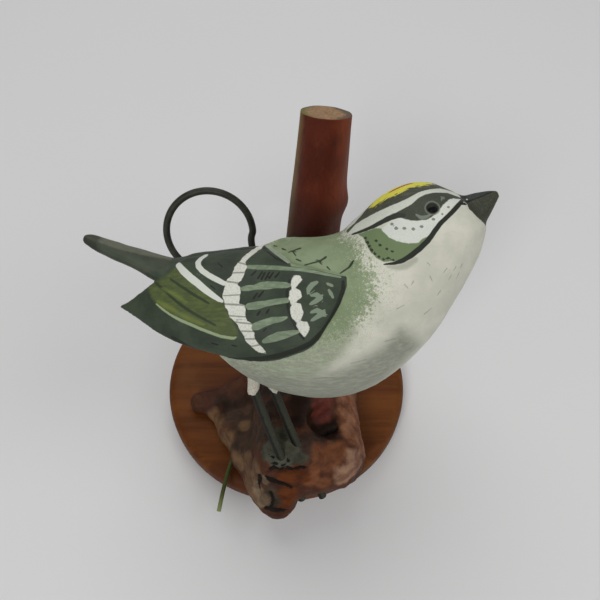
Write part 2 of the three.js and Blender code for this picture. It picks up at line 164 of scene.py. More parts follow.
def along(rows, shares):
    """Points of the smooth curve through a table's rows, at shares of its way from 0 to 1."""
    rows = np.array(rows, float)
    place = np.clip(np.atleast_1d(shares), 0, 1) * (len(rows) - 1)
    i = np.minimum(place.astype(int), len(rows) - 2)
    f = (place - i)[:, None]
    start, end = rows[i], rows[i + 1]
    leave = (end - rows[np.maximum(i - 1, 0)]) / 2
    arrive = (rows[np.minimum(i + 2, len(rows) - 1)] - start) / 2
    bend = 3 * (end - start) - 2 * leave - arrive
    ease = 2 * (start - end) + leave + arrive
    return start + f * (leave + f * (bend + f * ease))


def skin(rings):
    """A closed skin over rings of points, with a middle point at each end and its faces outwards."""
    count, sides = rings.shape[:2]
    points = np.concatenate([rings.reshape(-1, 3), [rings[0].mean(0)], [rings[-1].mean(0)]])
    here = np.arange((count - 1) * sides).reshape(count - 1, sides)
    beside = np.roll(here, -1, axis=1)
    faces = np.stack([here, beside, beside + sides, here + sides], -1).reshape(-1, 4).tolist()
    last = (count - 1) * sides
    for i in range(sides):
        after = (i + 1) % sides
        faces.append([count * sides, after, i])
        faces.append([count * sides + 1, last + i, last + after])
    corners = np.array([[f[0], f[1], f[2]] for f in faces])
    a, b, c = (points[corners[:, k]] for k in range(3))
    if np.einsum("ij,ij->", a, np.cross(b, c)) < 0:
        faces = [f[::-1] for f in faces]
    return points, faces


def together(parts):
    """Several skins as one list of points and faces."""
    points, faces, count = [], [], 0
    for part_points, part_faces in parts:
        points.append(part_points)
        faces += [[i + count for i in face] for face in part_faces]
        count += len(part_points)
    return np.concatenate(points), faces


def new_mesh(name, points, faces):
    mesh = bpy.data.meshes.new(name)
    mesh.from_pydata((np.asarray(points) * MM).tolist(), [], faces)
    mesh.shade_smooth()
    return mesh


def new_object(name, mesh):
    made = bpy.data.objects.new(name, mesh)
    bpy.context.scene.collection.objects.link(made)
    return made


def points_of(mesh):
    flat = np.empty(len(mesh.vertices) * 3)
    mesh.vertices.foreach_get("co", flat)
    return flat.reshape(-1, 3) / MM


def move_points(mesh, points):
    mesh.vertices.foreach_set("co", (points * MM).ravel())
    mesh.update()


def normals_of(mesh):
    flat = np.empty(len(mesh.vertices) * 3)
    mesh.vertex_normals.foreach_get("vector", flat)
    return flat.reshape(-1, 3)


def smoothed(mesh, points, rounds, amount=0.5):
    """Points drawn towards their neighbours, a number of rounds."""
    edges = np.empty(len(mesh.edges) * 2, int)
    mesh.edges.foreach_get("vertices", edges)
    a, b = edges.reshape(-1, 2).T
    size = len(points)
    count = np.bincount(a, minlength=size) + np.bincount(b, minlength=size)
    for _ in range(rounds):
        total = np.stack([
            np.bincount(a, points[b, k], size) + np.bincount(b, points[a, k], size) for k in range(3)
        ], -1)
        points = points + amount * (total / count[:, None] - points)
    return points


def fused(name, parts, voxel):
    """One even skin round overlapping closed skins."""
    rough = new_object(name + "_rough", new_mesh(name + "_rough", *together(parts)))
    fuse = rough.modifiers.new("fuse", "REMESH")
    fuse.mode = "VOXEL"
    fuse.voxel_size = voxel * MM
    fuse.use_smooth_shade = True
    seen = rough.evaluated_get(bpy.context.evaluated_depsgraph_get())
    mesh = bpy.data.meshes.new_from_object(seen)
    mesh.name = name
    bpy.data.objects.remove(rough)
    return mesh


def rough_noise(points, size, octaves=3, seed=0):
    """Smooth random values from about -1 to 1 at points, with bumps of a size in millimetres."""
    shift = Vector((seed * 17.3, seed * 5.1, seed * 9.7))
    return np.array([
        noise.fractal(Vector(p) / size + shift, 0.8, 2, octaves) for p in points
    ])


def store(mesh, name, values):
    """Keeps one number, or three, for each point of a mesh, for its finish to read."""
    values = np.asarray(values, float)
    kind = "FLOAT" if values.ndim == 1 else "FLOAT_VECTOR"
    kept = mesh.attributes.new(name, kind, "POINT")
    kept.data.foreach_set("value" if values.ndim == 1 else "vector", values.ravel())


def wire_mesh(name, path, radius, steps, sides, taper=None):
    """A round wire along a smooth path. It keeps each point's share of the length and its turn to the right."""
    shares = np.linspace(0, 1, steps + 1)
    middle = along(path, shares)
    run = np.gradient(middle, axis=0)
    run /= np.linalg.norm(run, axis=1)[:, None]
    side = np.cross(run[0], [0, 0, 1.0])
    if np.linalg.norm(side) < 0.1:
        side = np.cross(run[0], [0, 1.0, 0])
    angles = np.linspace(0, 2 * math.pi, sides, endpoint=False)
    rings = []
    for k in range(steps + 1):
        side = side - run[k] * (side @ run[k])
        side /= np.linalg.norm(side)
        up = np.cross(side, run[k])
        reach = radius * (taper(shares[k]) if taper else 1)
        rings.append(middle[k] + reach * (np.cos(angles)[:, None] * side + np.sin(angles)[:, None] * up))
    rings = np.array(rings)
    mesh = new_mesh(name, *skin(rings))
    store(mesh, "along", np.append(np.repeat(shares, sides), [0, 1]))
    store(mesh, "to_right", np.append((rings - middle[:, None])[..., 0].ravel() / radius, [0, 0]))
    return mesh


# Finishes: a socket that takes arithmetic, and the node tree of one finish

class Socket:
    """An output socket in a finish. Arithmetic on it adds Math nodes."""

    def __init__(self, finish, output):
        self.finish = finish
        self.output = output

    def math(self, operation, *values, clamp=False):
        settings = {"operation": operation, "use_clamp": clamp}
        return self.finish.node("ShaderNodeMath", settings, dict(enumerate(values)))

    def __add__(self, other):
        return self.math("ADD", self, other)

    __radd__ = __add__

    def __mul__(self, other):
        return self.math("MULTIPLY", self, other)

    __rmul__ = __mul__

    def __sub__(self, other):
        return self.math("SUBTRACT", self, other)

    def __rsub__(self, other):
        return self.math("SUBTRACT", other, self)

    def __truediv__(self, other):
        return self.math("DIVIDE", self, other)

    def __abs__(self):
        return self.math("ABSOLUTE", self)

    def least(self, other):
        return self.math("MINIMUM", self, other)

    def most(self, other):
        return self.math("MAXIMUM", self, other)

    def wave(self):
        return self.math("SINE", self)

    def step(self, low, high):
        """0 below low, 1 above high, and a soft edge between them."""
        settings = {"interpolation_type": "SMOOTHSTEP"}
        return self.finish.node("ShaderNodeMapRange", settings, {0: self, 1: low, 2: high})


class Finish:
    """The node tree of one finish, on a Principled shader."""

    def __init__(self, name):
        self.material = bpy.data.materials.new(name)
        self.material.use_nodes = True
        self.tree = self.material.node_tree
        self.tree.nodes.clear()

    def node(self, kind, settings=None, inputs=None, output=0):
        """Adds a node: its settings first, then the values or links of its sockets."""
        made = self.tree.nodes.new(kind)
        for name, value in (settings or {}).items():
            if name == "stops":
                while len(made.color_ramp.elements) < len(value):
                    made.color_ramp.elements.new(0.5)
                for element, (place, shade) in zip(made.color_ramp.elements, value):
                    element.position = place
                    element.color = shade
            else:
                setattr(made, name, value)
        for name, value in (inputs or {}).items():
            if isinstance(value, Socket):
                self.tree.links.new(value.output, made.inputs[name])
            else:
                made.inputs[name].default_value = value
        return Socket(self, made.outputs[output])

    def millimetres(self):
        """The place on the piece, in millimetres."""
        place = self.node("ShaderNodeTexCoord", output="Object")
        return self.vector("SCALE", place, scale=1 / MM)

    def vector(self, operation, first, second=None, scale=None, output=0):
        inputs = {0: first}
        if second is not None:
            inputs[1] = second
        if scale is not None:
            inputs["Scale"] = scale
        return self.node("ShaderNodeVectorMath", {"operation": operation}, inputs, output)

    def kept(self, name, vector=False):
        """A number, or a vector, kept for each point of the mesh."""
        return self.node("ShaderNodeAttribute", {"attribute_name": name}, output="Vector" if vector else "Fac")

    def parts(self, vector):
        split = self.node("ShaderNodeSeparateXYZ", inputs={0: vector})
        outputs = split.output.node.outputs
        return [Socket(self, outputs[k]) for k in range(3)]

    def noise(self, place, size, detail=3, rough=0.5, twist=0):
        """Cloudy values from 0 to 1, about 0.5, with bumps of a size in millimetres."""
        inputs = {"Vector": place, "Scale": 1 / size, "Detail": detail, "Roughness": rough, "Distortion": twist}
        return self.node("ShaderNodeTexNoise", inputs=inputs)

    def cells(self, place, size, feature="F1", chance=1):
        inputs = {"Vector": place, "Scale": 1 / size, "Randomness": chance}
        return self.node("ShaderNodeTexVoronoi", {"feature": feature}, inputs)

    def stretched(self, place, ratios):
        """A place whose directions are shrunk, so that a pattern on it is drawn out."""
        return self.vector("MULTIPLY", place, ratios)

    def mix(self, share, first, second, blend="MIX"):
        """One colour over another by a share from 0 to 1."""
        settings = {"data_type": "RGBA", "blend_type": blend, "clamp_factor": True}
        return self.node("ShaderNodeMix", settings, {0: share, 6: first, 7: second}, output=2)

    def bump(self, height, distance, strength=1, below=None):
        """A relief of a height from 0 to 1, in millimetres."""
        inputs = {"Height": height, "Distance": distance * MM, "Strength": strength}
        if below is not None:
            inputs["Normal"] = below
        return self.node("ShaderNodeBump", inputs=inputs)

    def close(self, **sockets):
        inputs = {name.replace("_", " "): value for name, value in sockets.items()}
        shader = self.node("ShaderNodeBsdfPrincipled", inputs=inputs)
        self.node_output = self.tree.nodes.new("ShaderNodeOutputMaterial")
        self.tree.links.new(shader.output, self.node_output.inputs["Surface"])
        return self.material


def shade(code):
    """A colour code such as #a1b2c3 as the linear colour that sockets take."""
    levels = [int(code[k:k + 2], 16) / 255 for k in (1, 3, 5)]
    linear = [v / 12.92 if v <= 0.04045 else ((v + 0.055) / 1.055) ** 2.4 for v in levels]
    return (*linear, 1)


def dress(piece, material, slot, *nodes):
    """Gives a piece its finish, fixes it to the root and hides the parts that it stands for."""
    piece.data.materials.clear()
    piece.data.materials.append(material)
    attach(piece, "root")
    if nodes:
        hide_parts(*nodes)
    return piece


# Bird: its skin

def rounded(values, fullness):
    return np.sign(values) * np.abs(values) ** (2 / fullness)


def body_skin():
    sides, steps = 120, 170
    angles = np.linspace(0, 2 * math.pi, sides, endpoint=False)
    up = (1 + rounded(np.cos(angles), RIB_FULLNESS)) / 2
    out = rounded(np.sin(angles), RIB_FULLNESS)
    rings = []
    for back_x, back_z, belly_x, belly_z, half in along(RIBS, np.linspace(0, 1, steps)):
        rings.append(np.stack([
            belly_x + up * (back_x - belly_x),
            half * out,
            belly_z + up * (back_z - belly_z),
        ], -1))
    return skin(np.array(rings))


def wing_skin(side):
    rings = []
    for station, half_width, half_height, middle, top, bottom in along(WING, np.linspace(0, 1, 90)):
        past = max(0, LEFT_WING_FROM - station)
        x = station if side < 0 else station + LEFT_WING_SHARE * past
        upper = top if side < 0 else max(top, LEFT_WING_TUCK)
        shares = np.linspace(0, 1, 40)
        angles = np.radians(upper + shares * (bottom - upper))
        hem = np.clip(np.minimum(shares, 1 - shares) / 0.04, 0, 1)
        edge = 0.5 * np.sqrt(1 - (1 - hem) ** 2 * 0.6)

        def place(depth):
            return np.stack([
                np.full_like(shares, x),
                side * (half_width - depth) * np.sin(angles),
                middle + (half_height - depth) * np.cos(angles),
            ], -1)

        rings.append(np.concatenate([
            place(WING_THICKNESS * (0.5 - edge)),
            place(WING_THICKNESS * (0.5 + edge))[::-1],
        ]))
    return skin(np.array(rings))


def tail_skin():
    angles = np.linspace(0, 2 * math.pi, 40, endpoint=False)
    rings = []
    for x, z, half_width, half_thickness in along(TAIL, np.linspace(0, 1, 60)):
        rings.append(np.stack([
            x + TAIL_SLANT * half_thickness * np.cos(angles),
            -half_width * np.sin(angles),
            z + half_thickness * np.cos(angles),
        ], -1))
    return skin(np.array(rings))


LEFTWARDS = np.array([0, math.cos(BIRD_LEAN_BACK), -math.sin(BIRD_LEAN_BACK)])
UPWARDS = np.array([0, math.sin(BIRD_LEAN_BACK), math.cos(BIRD_LEAN_BACK)])
BIRD_AXES = np.array([[1.0, 0, 0], LEFTWARDS, UPWARDS])


def in_bird_frame(points):
    return (np.asarray(points, float) - BIRD_CENTRE) @ BIRD_AXES.T


def in_world_frame(points):
    return np.asarray(points, float) @ BIRD_AXES + BIRD_CENTRE


def tuft_skin(leg, behind, seed):
    """A thigh tuft round the top of a leg, set a little behind it: short, with a ragged hem."""
    top, knee = in_bird_frame(leg[0]), in_bird_frame(leg[1])
    run = (knee - top) / np.linalg.norm(knee - top)
    hem = knee + TUFT_PAST_KNEE * run
    side = np.cross(run, [0, 0, 1.0])
    side /= np.linalg.norm(side)
    front = np.cross(run, side)
    angles = np.linspace(0, 2 * math.pi, 60, endpoint=False)
    spikes = 0.5 + 0.5 * np.sin(angles * 7 + seed) * np.sin(angles * 3 + 2 * seed)
    rings = []
    for share in np.linspace(0, 1, 16):
        reach = TUFT_TOP + share * (TUFT_HEM - TUFT_TOP) + 0.22 * np.sin(angles * 9 + seed) * share
        length = np.linalg.norm(hem - top) * (share - 0.3 * share ** 4 * spikes)
        middle = top - np.array([behind * share, 0, 0])
        rings.append(middle + length[:, None] * run + (reach * np.cos(angles))[:, None] * side
                     + (reach * np.sin(angles))[:, None] * front)
    return skin(np.array(rings))


def tree_of(part):
    points, faces = part
    return BVHTree.FromPolygons(points.tolist(), faces)


def distances(tree, points):
    return np.array([tree.find_nearest(Vector(p))[3] for p in points])


# Bird: where its paint goes. The painted shapes are drawn on a plane seen from its side and a little above:
# x, and h, the height on that plane. Both sides of the bird are painted alike, but for the right wing's lap.

PAINT_TILT = math.radians(23)


WING_LAP = 7  # how far past the middle the right wing's paint reaches over the back
LAP_ENDS = 5, 8  # it ends at this x, drawn in over this length


def paint_plane(points):
    x, y, z = points.T
    lap = WING_LAP * np.clip((LAP_ENDS[0] - x) / LAP_ENDS[1], 0, 1)
    aside = np.where(y < lap, np.minimum(y, lap), -y)
    return np.stack([x, z * math.cos(PAINT_TILT) + aside * math.sin(PAINT_TILT)], -1)


def inside(points, outline):
    """How far points lie inside a closed outline, negative outside it."""
    outline = np.array(outline, float)
    nearest = np.full(len(points), 1e9)
    within = np.zeros(len(points), bool)
    for a, b in zip(outline, np.roll(outline, -1, axis=0)):
        run = b - a
        share = np.clip(((points - a) @ run) / (run @ run), 0, 1)
        off = points - a - share[:, None] * run
        nearest = np.minimum(nearest, np.hypot(off[:, 0], off[:, 1]))
        crosses = (a[1] > points[:, 1]) != (b[1] > points[:, 1])
        level = run[0] * (points[:, 1] - a[1]) / (run[1] if run[1] else 1e-9) + a[0]
        within ^= crosses & (points[:, 0] < level)
    return np.where(within, nearest, -nearest)


STROKE_ROOM = 0.35  # how far past its edge a stroke's own numbers hold


def strokes(points, rows):
    """For each point, how far it lies beside the nearest brush stroke, that stroke's half width, and 0.
    A stroke is a list of x, h, half width."""
    best = np.full(len(points), 1e9)
    beside = np.full(len(points), 1e3)
    half = np.full(len(points), -1e3)
    for stroke in rows:
        stroke = np.array(stroke, float)
        last = len(stroke) - 2
        for k in range(last + 1):
            a, b = stroke[k, :2], stroke[k + 1, :2]
            run = b - a
            length = math.hypot(*run)
            reach = points - a
            share = (reach @ run) / length ** 2
            held = np.clip(share, 0, 1)
            off = reach - held[:, None] * run
            away = np.hypot(off[:, 0], off[:, 1])
            cross = (run[0] * reach[:, 1] - run[1] * reach[:, 0]) / length
            width = stroke[k, 2] + held * (stroke[k + 1, 2] - stroke[k, 2])
            past = np.abs(share - held) * length
            ends = ((share < 0) & (k == 0)) | ((share > 1) & (k == last))
            round_end = np.where(past < width, np.sqrt(np.maximum(width ** 2 - past ** 2, 0)), width - past)
            closer = away - width < best
            best = np.where(closer, away - width, best)
            beside = np.where(closer, np.where(ends, cross, np.sign(cross) * away), beside)
            half = np.where(closer, np.where(ends, round_end, width), half)
    half = half - 6 * np.maximum(np.abs(beside) - np.maximum(half, 0) - STROKE_ROOM, 0)
    return np.stack([beside, half, np.zeros(len(points))], -1)


def dots(points, rows):
    """Round dabs of paint, each a row of x, h, radius."""
    return strokes(points, [[[x - 0.01, h, radius], [x + 0.01, h, radius]] for x, h, radius in rows])


def line(rows, start, end=None):
    """A stroke whose half width runs from start to end."""
    widths = np.linspace(start, start if end is None else end, len(rows))
    return [[x, h, w] for (x, h), w in zip(rows, widths)]


BROW_TOP = [[10.8, 19.4], [12.5, 21.3], [13.9, 22.1], [16.4, 23.2], [19.4, 24.4], [21.4, 25.2], [23.5, 26.2],
            [25.7, 27.3], [28.1, 28.1], [30.8, 28.7], [33.4, 28.3], [35.8, 27.5]]
BROW_BOTTOM = [[11.6, 18.9], [13.2, 19.7], [16.2, 20.9], [19.2, 22.5], [20.4, 22.9], [21.8, 23.6], [23.5, 24.5],
               [25, 25.8], [26.6, 26.7], [28.5, 27.2], [30.1, 27.4], [31.9, 27.6], [33.8, 27], [35.9, 26.6]]
MASK_BOTTOM = [[21.1, 21.7], [22.1, 21.2], [23.4, 20.8], [25, 20.8], [26.6, 21], [27.9, 21.8], [28.8, 22.8],
               [30, 24.1], [31.3, 25.3], [32.8, 26], [34.6, 26.1]]
CHEEK_BOTTOM = [[34.6, 25.5], [33.1, 24.7], [31.5, 23.5], [30.2, 22.1], [29.1, 20.6], [28.3, 19.4],
                [27.8, 18.3], [26.6, 17.5], [25.2, 16.8], [24.5, 16], [23.5, 16], [21.9, 16.1], [20.3, 16.5],
                [18.9, 17.2], [17.8, 18.4], [17.1, 19.3], [19.1, 20.7]]
GAPE_LINE = [[35, 25], [37.4, 26.1], [39.6, 26.9], [42, 28], [44.4, 29.2]]

REGIONS = {
    "brow": BROW_TOP + BROW_BOTTOM[::-1],
    "mask": BROW_BOTTOM[3:] + [[36.4, 26.2]] + MASK_BOTTOM[::-1],
    "crown": BROW_TOP + [[37, 28.2], [37, 34], [12, 34], [9.6, 21]],
    "cheek": MASK_BOTTOM + CHEEK_BOTTOM,
    "cheek_patch": [[12.5, 18.7], [14.3, 19.1], [16.1, 19.6], [19, 19.4], [24, 17.6], [27.4, 17.7],
                    [25.8, 15.6], [23.7, 14.2], [21.9, 12.9], [19.8, 12.3], [17.6, 12.2], [16.2, 13],
                    [15, 14.3], [14.3, 15.9], [13.6, 17.8]],
    "beak": [[35.3, 28.6], [35.3, 25.6], [36, 25.2], [36.2, 23.7], [37, 22.8], [38, 22], [40.8, 20.6],
             [46, 20], [46, 34], [36, 30]],
    "lower_beak": GAPE_LINE + [[46, 29.6], [46, 19], [35, 19]],
    "mantle": [[-9, 24], [-17, -9], [-8.2, -8.4], [6.4, -6.4], [11.9, -3.8], [15.6, 0.4], [17.8, 5.3],
               [17.6, 10.1], [15.4, 13.1], [14.4, 18.1], [11.6, 19.9], [11.6, 26]],
    "flank": [[-20, -6], [-8.2, -8], [0.1, -6.5], [5.3, -3], [9.5, 2], [11.4, -2.1], [9, -7], [4, -11.8],
              [-2.2, -15], [-8.5, -13.6], [-13.5, -11.6], [-18, -9]],
    "belly_low": [[-15, -9.9], [-8.5, -11.8], [-2.2, -13.5], [4.5, -12.8], [11, -10.5], [17.4, -6.7],
                  [21.6, -2.3], [26, -6], [19, -14], [9.2, -20], [0.2, -22], [-9.6, -21], [-17, -13]],
    "back": [[-60, 40], [-8.4, 40], [-8.4, 14], [-14, 9], [-30, -2], [-60, 0]],
    "tail_top": [[-52, 19.6], [-48.1, 18.3], [-40.9, 15.8], [-34.3, 14.3], [-27.9, 13.2], [-22, 14],
                 [-22, 30], [-60, 30]],
    "olive": [[-33.8, 6.9], [-31.9, 8.6], [-30.1, 9.6], [-28.8, 10.9], [-27.6, 12.1], [-24.1, 9.2],
              [-20.4, 6.4], [-16.6, 4], [-15, 1], [-13.3, -2.1], [-13.1, -3.6], [-17, -3.5], [-21.4, -1.9],
              [-25.9, -0.1], [-29.8, 2.1], [-31.5, 3.4], [-32.8, 4.9]],
    "shoulder": [[-10, 21], [-7.6, 17.4], [-5.3, 14.8], [-2.6, 12.2], [-2, 10], [-12, 10], [-12, 21]],
    "mantle_lap": [[-8.3, 18], [-6.7, 16.6], [-5.3, 15.3], [-3.7, 14], [-2.5, 12.9], [-1.9, 11.4], [0.1, 11.2],
                   [4.3, 10.4], [8.6, 9.4], [12, 9], [12, 15], [0, 30], [-8.3, 30]],
    "main_bar": [[-8.2, 17.9], [-9.3, 17.7], [-10.9, 16], [-12.7, 14.1], [-13.2, 13.2], [-13.7, 12.5], [-14.1, 12],
                 [-14.5, 11.2], [-14.7, 10.3], [-14.8, 9.4], [-15.7, 8.8], [-16.1, 7.9], [-16.2, 7],
                 [-16.5, 5.9], [-16.5, 4.9], [-16.1, 3.8], [-15.9, 2.7], [-15.2, 1.9], [-15, 0.8], [-14.1, 0],
                 [-13.1, -1.1], [-12.6, -2.3], [-11.8, -3.4], [-11.4, -4.5], [-10.6, -5.3], [-9.7, -6.2],
                 [-8.7, -6.9], [-7.4, -7.1], [-7, -7.3], [-7.6, -6.4], [-8.4, -5.5], [-9.1, -4.7],
                 [-9.7, -3.8], [-9.7, -2.7], [-10.3, -1.7], [-10.1, -0.8], [-11.1, -0.2], [-11.6, 0.8],
                 [-11.6, 2.1], [-11.8, 3.2], [-12.9, 3.5], [-12.9, 4.4], [-12.8, 5.7], [-12.9, 7],
                 [-13.6, 7.7], [-12.8, 8.3], [-12.2, 9.6], [-11.9, 10.9], [-11.7, 11.6], [-12.2, 12.6],
                 [-11.5, 13.7], [-10.4, 14.8], [-9.3, 16]],
}

FRONT_BAR = [  # its four blocks
    [[-1.3, 9.4], [0.1, 9.4], [0.4, 8.6], [-0.5, 7.4], [-1.6, 6.4], [-1.9, 7.8]],
    [[-2.1, 6], [-1.4, 6.8], [0, 6.3], [0.4, 4.9], [-0.7, 4], [-1.7, 3.2], [-2.4, 4.6]],
    [[-2, 2.7], [-1.2, 3.7], [0.2, 3.4], [0.7, 1.7], [0.2, 0.2], [-0.5, -0.6], [-1.5, 0.4], [-2, 1.5]],
    [[-0.8, -0.8], [0.1, -0.1], [1.4, -0.4], [2, -1.4], [1.7, -2.5], [0.9, -3.5], [0.1, -2.5], [-0.5, -1.6]],
]

CREST = [  # the yellow crest, seen from above: x, y
    [15.4, 1.2], [16.4, 0], [17.6, -1.2], [18.9, -2], [20.6, -2.4], [22.2, -2.7], [23.8, -2.2], [25.6, -1.6],
    [27.9, -1], [29.8, 1.2], [28.5, 3], [25.6, 4.2], [22.2, 5.1], [18.9, 4.4], [16.4, 2.8],
]
CREST_MIDDLE = 1.2

STRIPES = [  # the sage stripes across the wing
    [[-11.5, 11.6, 0.48], [-9, 11.4, 0.56], [-6.4, 11.3, 0.48], [-3.8, 11.1, 0.48], [-2.1, 10.9, 0.4],
     [0.1, 10.8, 0.4], [4.3, 10, 0.32], [8.6, 9.1, 0.2]],
    [[-12.5, 6.6, 0.4], [-11.2, 6.8, 0.63], [-9.7, 7, 0.56], [-8.4, 7.3, 0.79], [-6.9, 7.4, 0.87],
     [-5.2, 7.5, 0.71], [-2.9, 7.4, 0.63], [-2.2, 7.4, 0.4]],
    [[-10.9, 2.9, 0.71], [-9.2, 3.1, 0.87], [-7.3, 3.5, 0.63], [-5.2, 3.9, 0.63], [-2.7, 4.2, 0.56]],
    [[-10.7, -1.7, 0.56], [-9.2, -1.3, 0.87], [-7.5, -0.6, 0.79], [-5.8, 0, 0.71], [-4.1, 0.2, 0.56],
     [-2.8, 0.6, 0.29]],
    [[-7.6, -4.5, 0.48], [-6.3, -4, 0.79], [-4.6, -3.4, 0.95], [-2.9, -3, 0.79], [-1.4, -2.6, 0.56],
     [-0.1, -2.3, 0.29]],
]
WEDGE = [  # the pale edge between the mantle and the wing's first dark panel
    [[-8.4, 17.6, 0.3], [-6.7, 16.2, 0.45], [-5.3, 14.9, 0.5], [-3.7, 13.6, 0.5], [-2.5, 12.5, 0.35]],
]

WHITE_LINES = [
    [[-21.6, 14.6, 0.4], [-22.5, 13.8, 0.48], [-23, 12.8, 0.6], [-22.7, 11.8, 0.6], [-21.7, 10.8, 0.6],
     [-20, 9.7, 0.6], [-18.1, 8.7, 0.6], [-16.5, 7.9, 0.5], [-15.8, 7.8, 0.4]],
    [[-27.5, 12.2, 0.63], [-25.9, 10.7, 0.79], [-24.1, 9.2, 0.79], [-22.3, 7.9, 0.79], [-20.4, 6.4, 0.71],
     [-18.8, 5.3, 0.63], [-17.4, 4.4, 0.48], [-16.6, 4, 0.32]],
]

OLIVE_EDGE = [
    [[-31.5, 3.4, 0.16], [-29.8, 2.1, 0.24], [-28.2, 1.1, 0.24], [-25.9, -0.1, 0.32], [-23.7, -1, 0.32],
     [-21.4, -1.9, 0.32], [-19.2, -2.7, 0.32], [-17, -3.5, 0.32], [-14.2, -3.9, 0.32], [-13.5, -3.6, 0.16]],
]
OLIVE_STREAKS = [
    [[-32, 8, 0.32], [-29.3, 6, 0.32], [-26.9, 4, 0.32], [-24.1, 2.1, 0.35], [-21.4, 0.6, 0.32],
     [-18.1, -1.1, 0.24]],
    [[-19.6, 3.6, 0.24], [-22.4, 5.1, 0.32], [-25.7, 7.1, 0.32], [-28.7, 8.9, 0.24]],
]
OLIVE_LIGHTS = [
    [[-31.2, 4, 0.3], [-29.6, 3.1, 0.6], [-27.6, 2.2, 0.5], [-26.2, 1.4, 0.2]],
    [[-25.8, 1.2, 0.3], [-24.2, 0.4, 0.6], [-22.3, -0.4, 0.45], [-20.6, -1, 0.2]],
    [[-30.4, 6.8, 0.2], [-27.6, 5.6, 0.4], [-24.6, 3.8, 0.2]],
]

WING_RIM = [  # the dark rim round the wing's lower and front edge, dark outline paint with painted shade along its raised edge, and the line beside the front bar
    [[-28, -4, 0.4], [-24.5, -6, 0.4], [-21.1, -7.4, 0.5], [-17, -8.5, 0.56], [-13.2, -8.8, 0.56],
     [-8.2, -8.4, 0.56], [-4.2, -7.5, 0.56], [-1, -6.4, 0.56], [2.2, -4.9, 0.56], [4.7, -2.5, 0.56],
     [6.6, 0.2, 0.56], [8, 3.4, 0.48], [9.1, 6.5, 0.48], [9.1, 8.2, 0.32]],
    [[-2.2, 8.5, 0.24], [-2.7, 6.3, 0.3], [-2.7, 4.2, 0.32], [-2.3, 1.7, 0.32], [-1.3, -0.6, 0.32],
     [-0.2, -2.6, 0.3], [0.8, -3.9, 0.24]],
    [[-9.4, 16.3, 0.15], [-7.6, 15.5, 0.2], [-5.5, 13.6, 0.2], [-2.8, 12.1, 0.2]],
]

BAR_CUTS = [  # the gaps between the blocks of the main bar
    line([[-13.6, 12.6], [-11.4, 12]], 0.17),
    line([[-14.9, 10.2], [-11.8, 10.2]], 0.17),
    line([[-15.8, 8.3], [-12.7, 7.8]], 0.2),
    line([[-16.4, 5.2], [-12.6, 5.4]], 0.14),
    line([[-16.2, 3.4], [-11.7, 3.2]], 0.2),
    line([[-15, 0.9], [-11.4, 0.7]], 0.15),
    line([[-14, -0.4], [-10.1, -0.8]], 0.18),
    line([[-12.6, -2.3], [-9.7, -2.4]], 0.17),
    line([[-11.5, -4], [-9.3, -4]], 0.18),
    line([[-10.2, -5.6], [-8.2, -5.2]], 0.17),
]

HATCHING = [  # short dark touches on the dark panels; every second one runs downwards
    line([[-10.5, 9.6], [-9.6, 10.5]], 0.24, 0.19),
    line([[-8.1, 10.4], [-9.1, 8.9]], 0.19, 0.24),
    line([[-8.3, 8.7], [-7.5, 10.2]], 0.24, 0.19),
    line([[-6.6, 10.2], [-7.4, 8.7]], 0.19, 0.24),
    line([[-6.6, 8.9], [-5.7, 10.2]], 0.24, 0.19),
    line([[-4.4, 10.1], [-5.3, 9.1]], 0.19, 0.24),
    line([[-9.9, 4.6], [-9.1, 5.7]], 0.24, 0.19),
    line([[-7.8, 6.1], [-8.8, 4.9]], 0.19, 0.24),
    line([[-9, 1.1], [-8.4, 1.9]], 0.24, 0.19),
    line([[-6.5, 2.3], [-7.1, 1.5]], 0.19, 0.24),
    line([[-7.7, -2.3], [-7.1, -1.7]], 0.19),
    line([[-18.4, 12.6], [-17.2, 11.6]], 0.15),
    line([[-19.4, 7.4], [-18.3, 6.6]], 0.15),
    line([[-14.6, -5.4], [-13.4, -5.6]], 0.15),
    line([[-19, -5], [-17.6, -5.4]], 0.15),
]

COMMAS = [  # pale grey-green commas on the shoulder
    [[3.6, 8, 0.35], [2.6, 7.5, 0.55], [1.9, 6.6, 0.55], [1.7, 5.7, 0.3]],
    [[2.2, 3.4, 0.3], [3.3, 4, 0.5], [4.3, 4.7, 0.55], [3.5, 5.4, 0.5], [2.4, 5.2, 0.25]],
    [[2.4, 1.7, 0.3], [3.6, 2.1, 0.5], [4.9, 1.5, 0.55], [3.7, 0.8, 0.5], [2.5, 0, 0.3]],
    [[5.8, 7.7, 0.28], [6.7, 7.3, 0.35]],
    [[6.9, 4.8, 0.26], [6.5, 5.6, 0.4], [6.1, 6.3, 0.28]],
]

MANTLE_STROKES = [
    line([[-4, 16], [-3.1, 15.6]], 0.24, 0.12),
    line([[-2.6, 14.9], [0.1, 15.9]], 0.14, 0.22),
    line([[-1.7, 15.3], [-0.8, 13.9]], 0.2, 0.1),
    line([[-0.8, 13.2], [0.3, 12.7]], 0.22, 0.12),
    line([[1.1, 11.8], [4.4, 12.7], [5.7, 13.6]], 0.16, 0.26),
    line([[3.8, 12.9], [4.8, 11.8]], 0.2, 0.1),
    line([[5.9, 11.3], [6.5, 10.7]], 0.22, 0.12),
    line([[8.6, 10], [10.5, 11.3], [11.4, 12.6]], 0.16, 0.28),
    line([[-6, 17], [-5.2, 16.7]], 0.2, 0.12),
]

MOUSTACHE = [
    [[35.7, 26.4, 0.36], [33.2, 24, 0.5], [31.8, 22.6, 0.5], [30.4, 21.3, 0.46], [29.1, 20.1, 0.52],
     [27.8, 18.3, 0.55], [26.6, 16.6, 0.58], [25, 15, 0.6], [23.1, 13.5, 0.58], [21.3, 12.4, 0.5],
     [19.6, 11.9, 0.34], [17.6, 11.7, 0.16]],
]
MOUSTACHE_SHADOW = [[[18.4, 11.2, 0.3], [20.2, 11, 0.6], [22, 11.4, 0.8], [24, 12.6, 0.6]]]

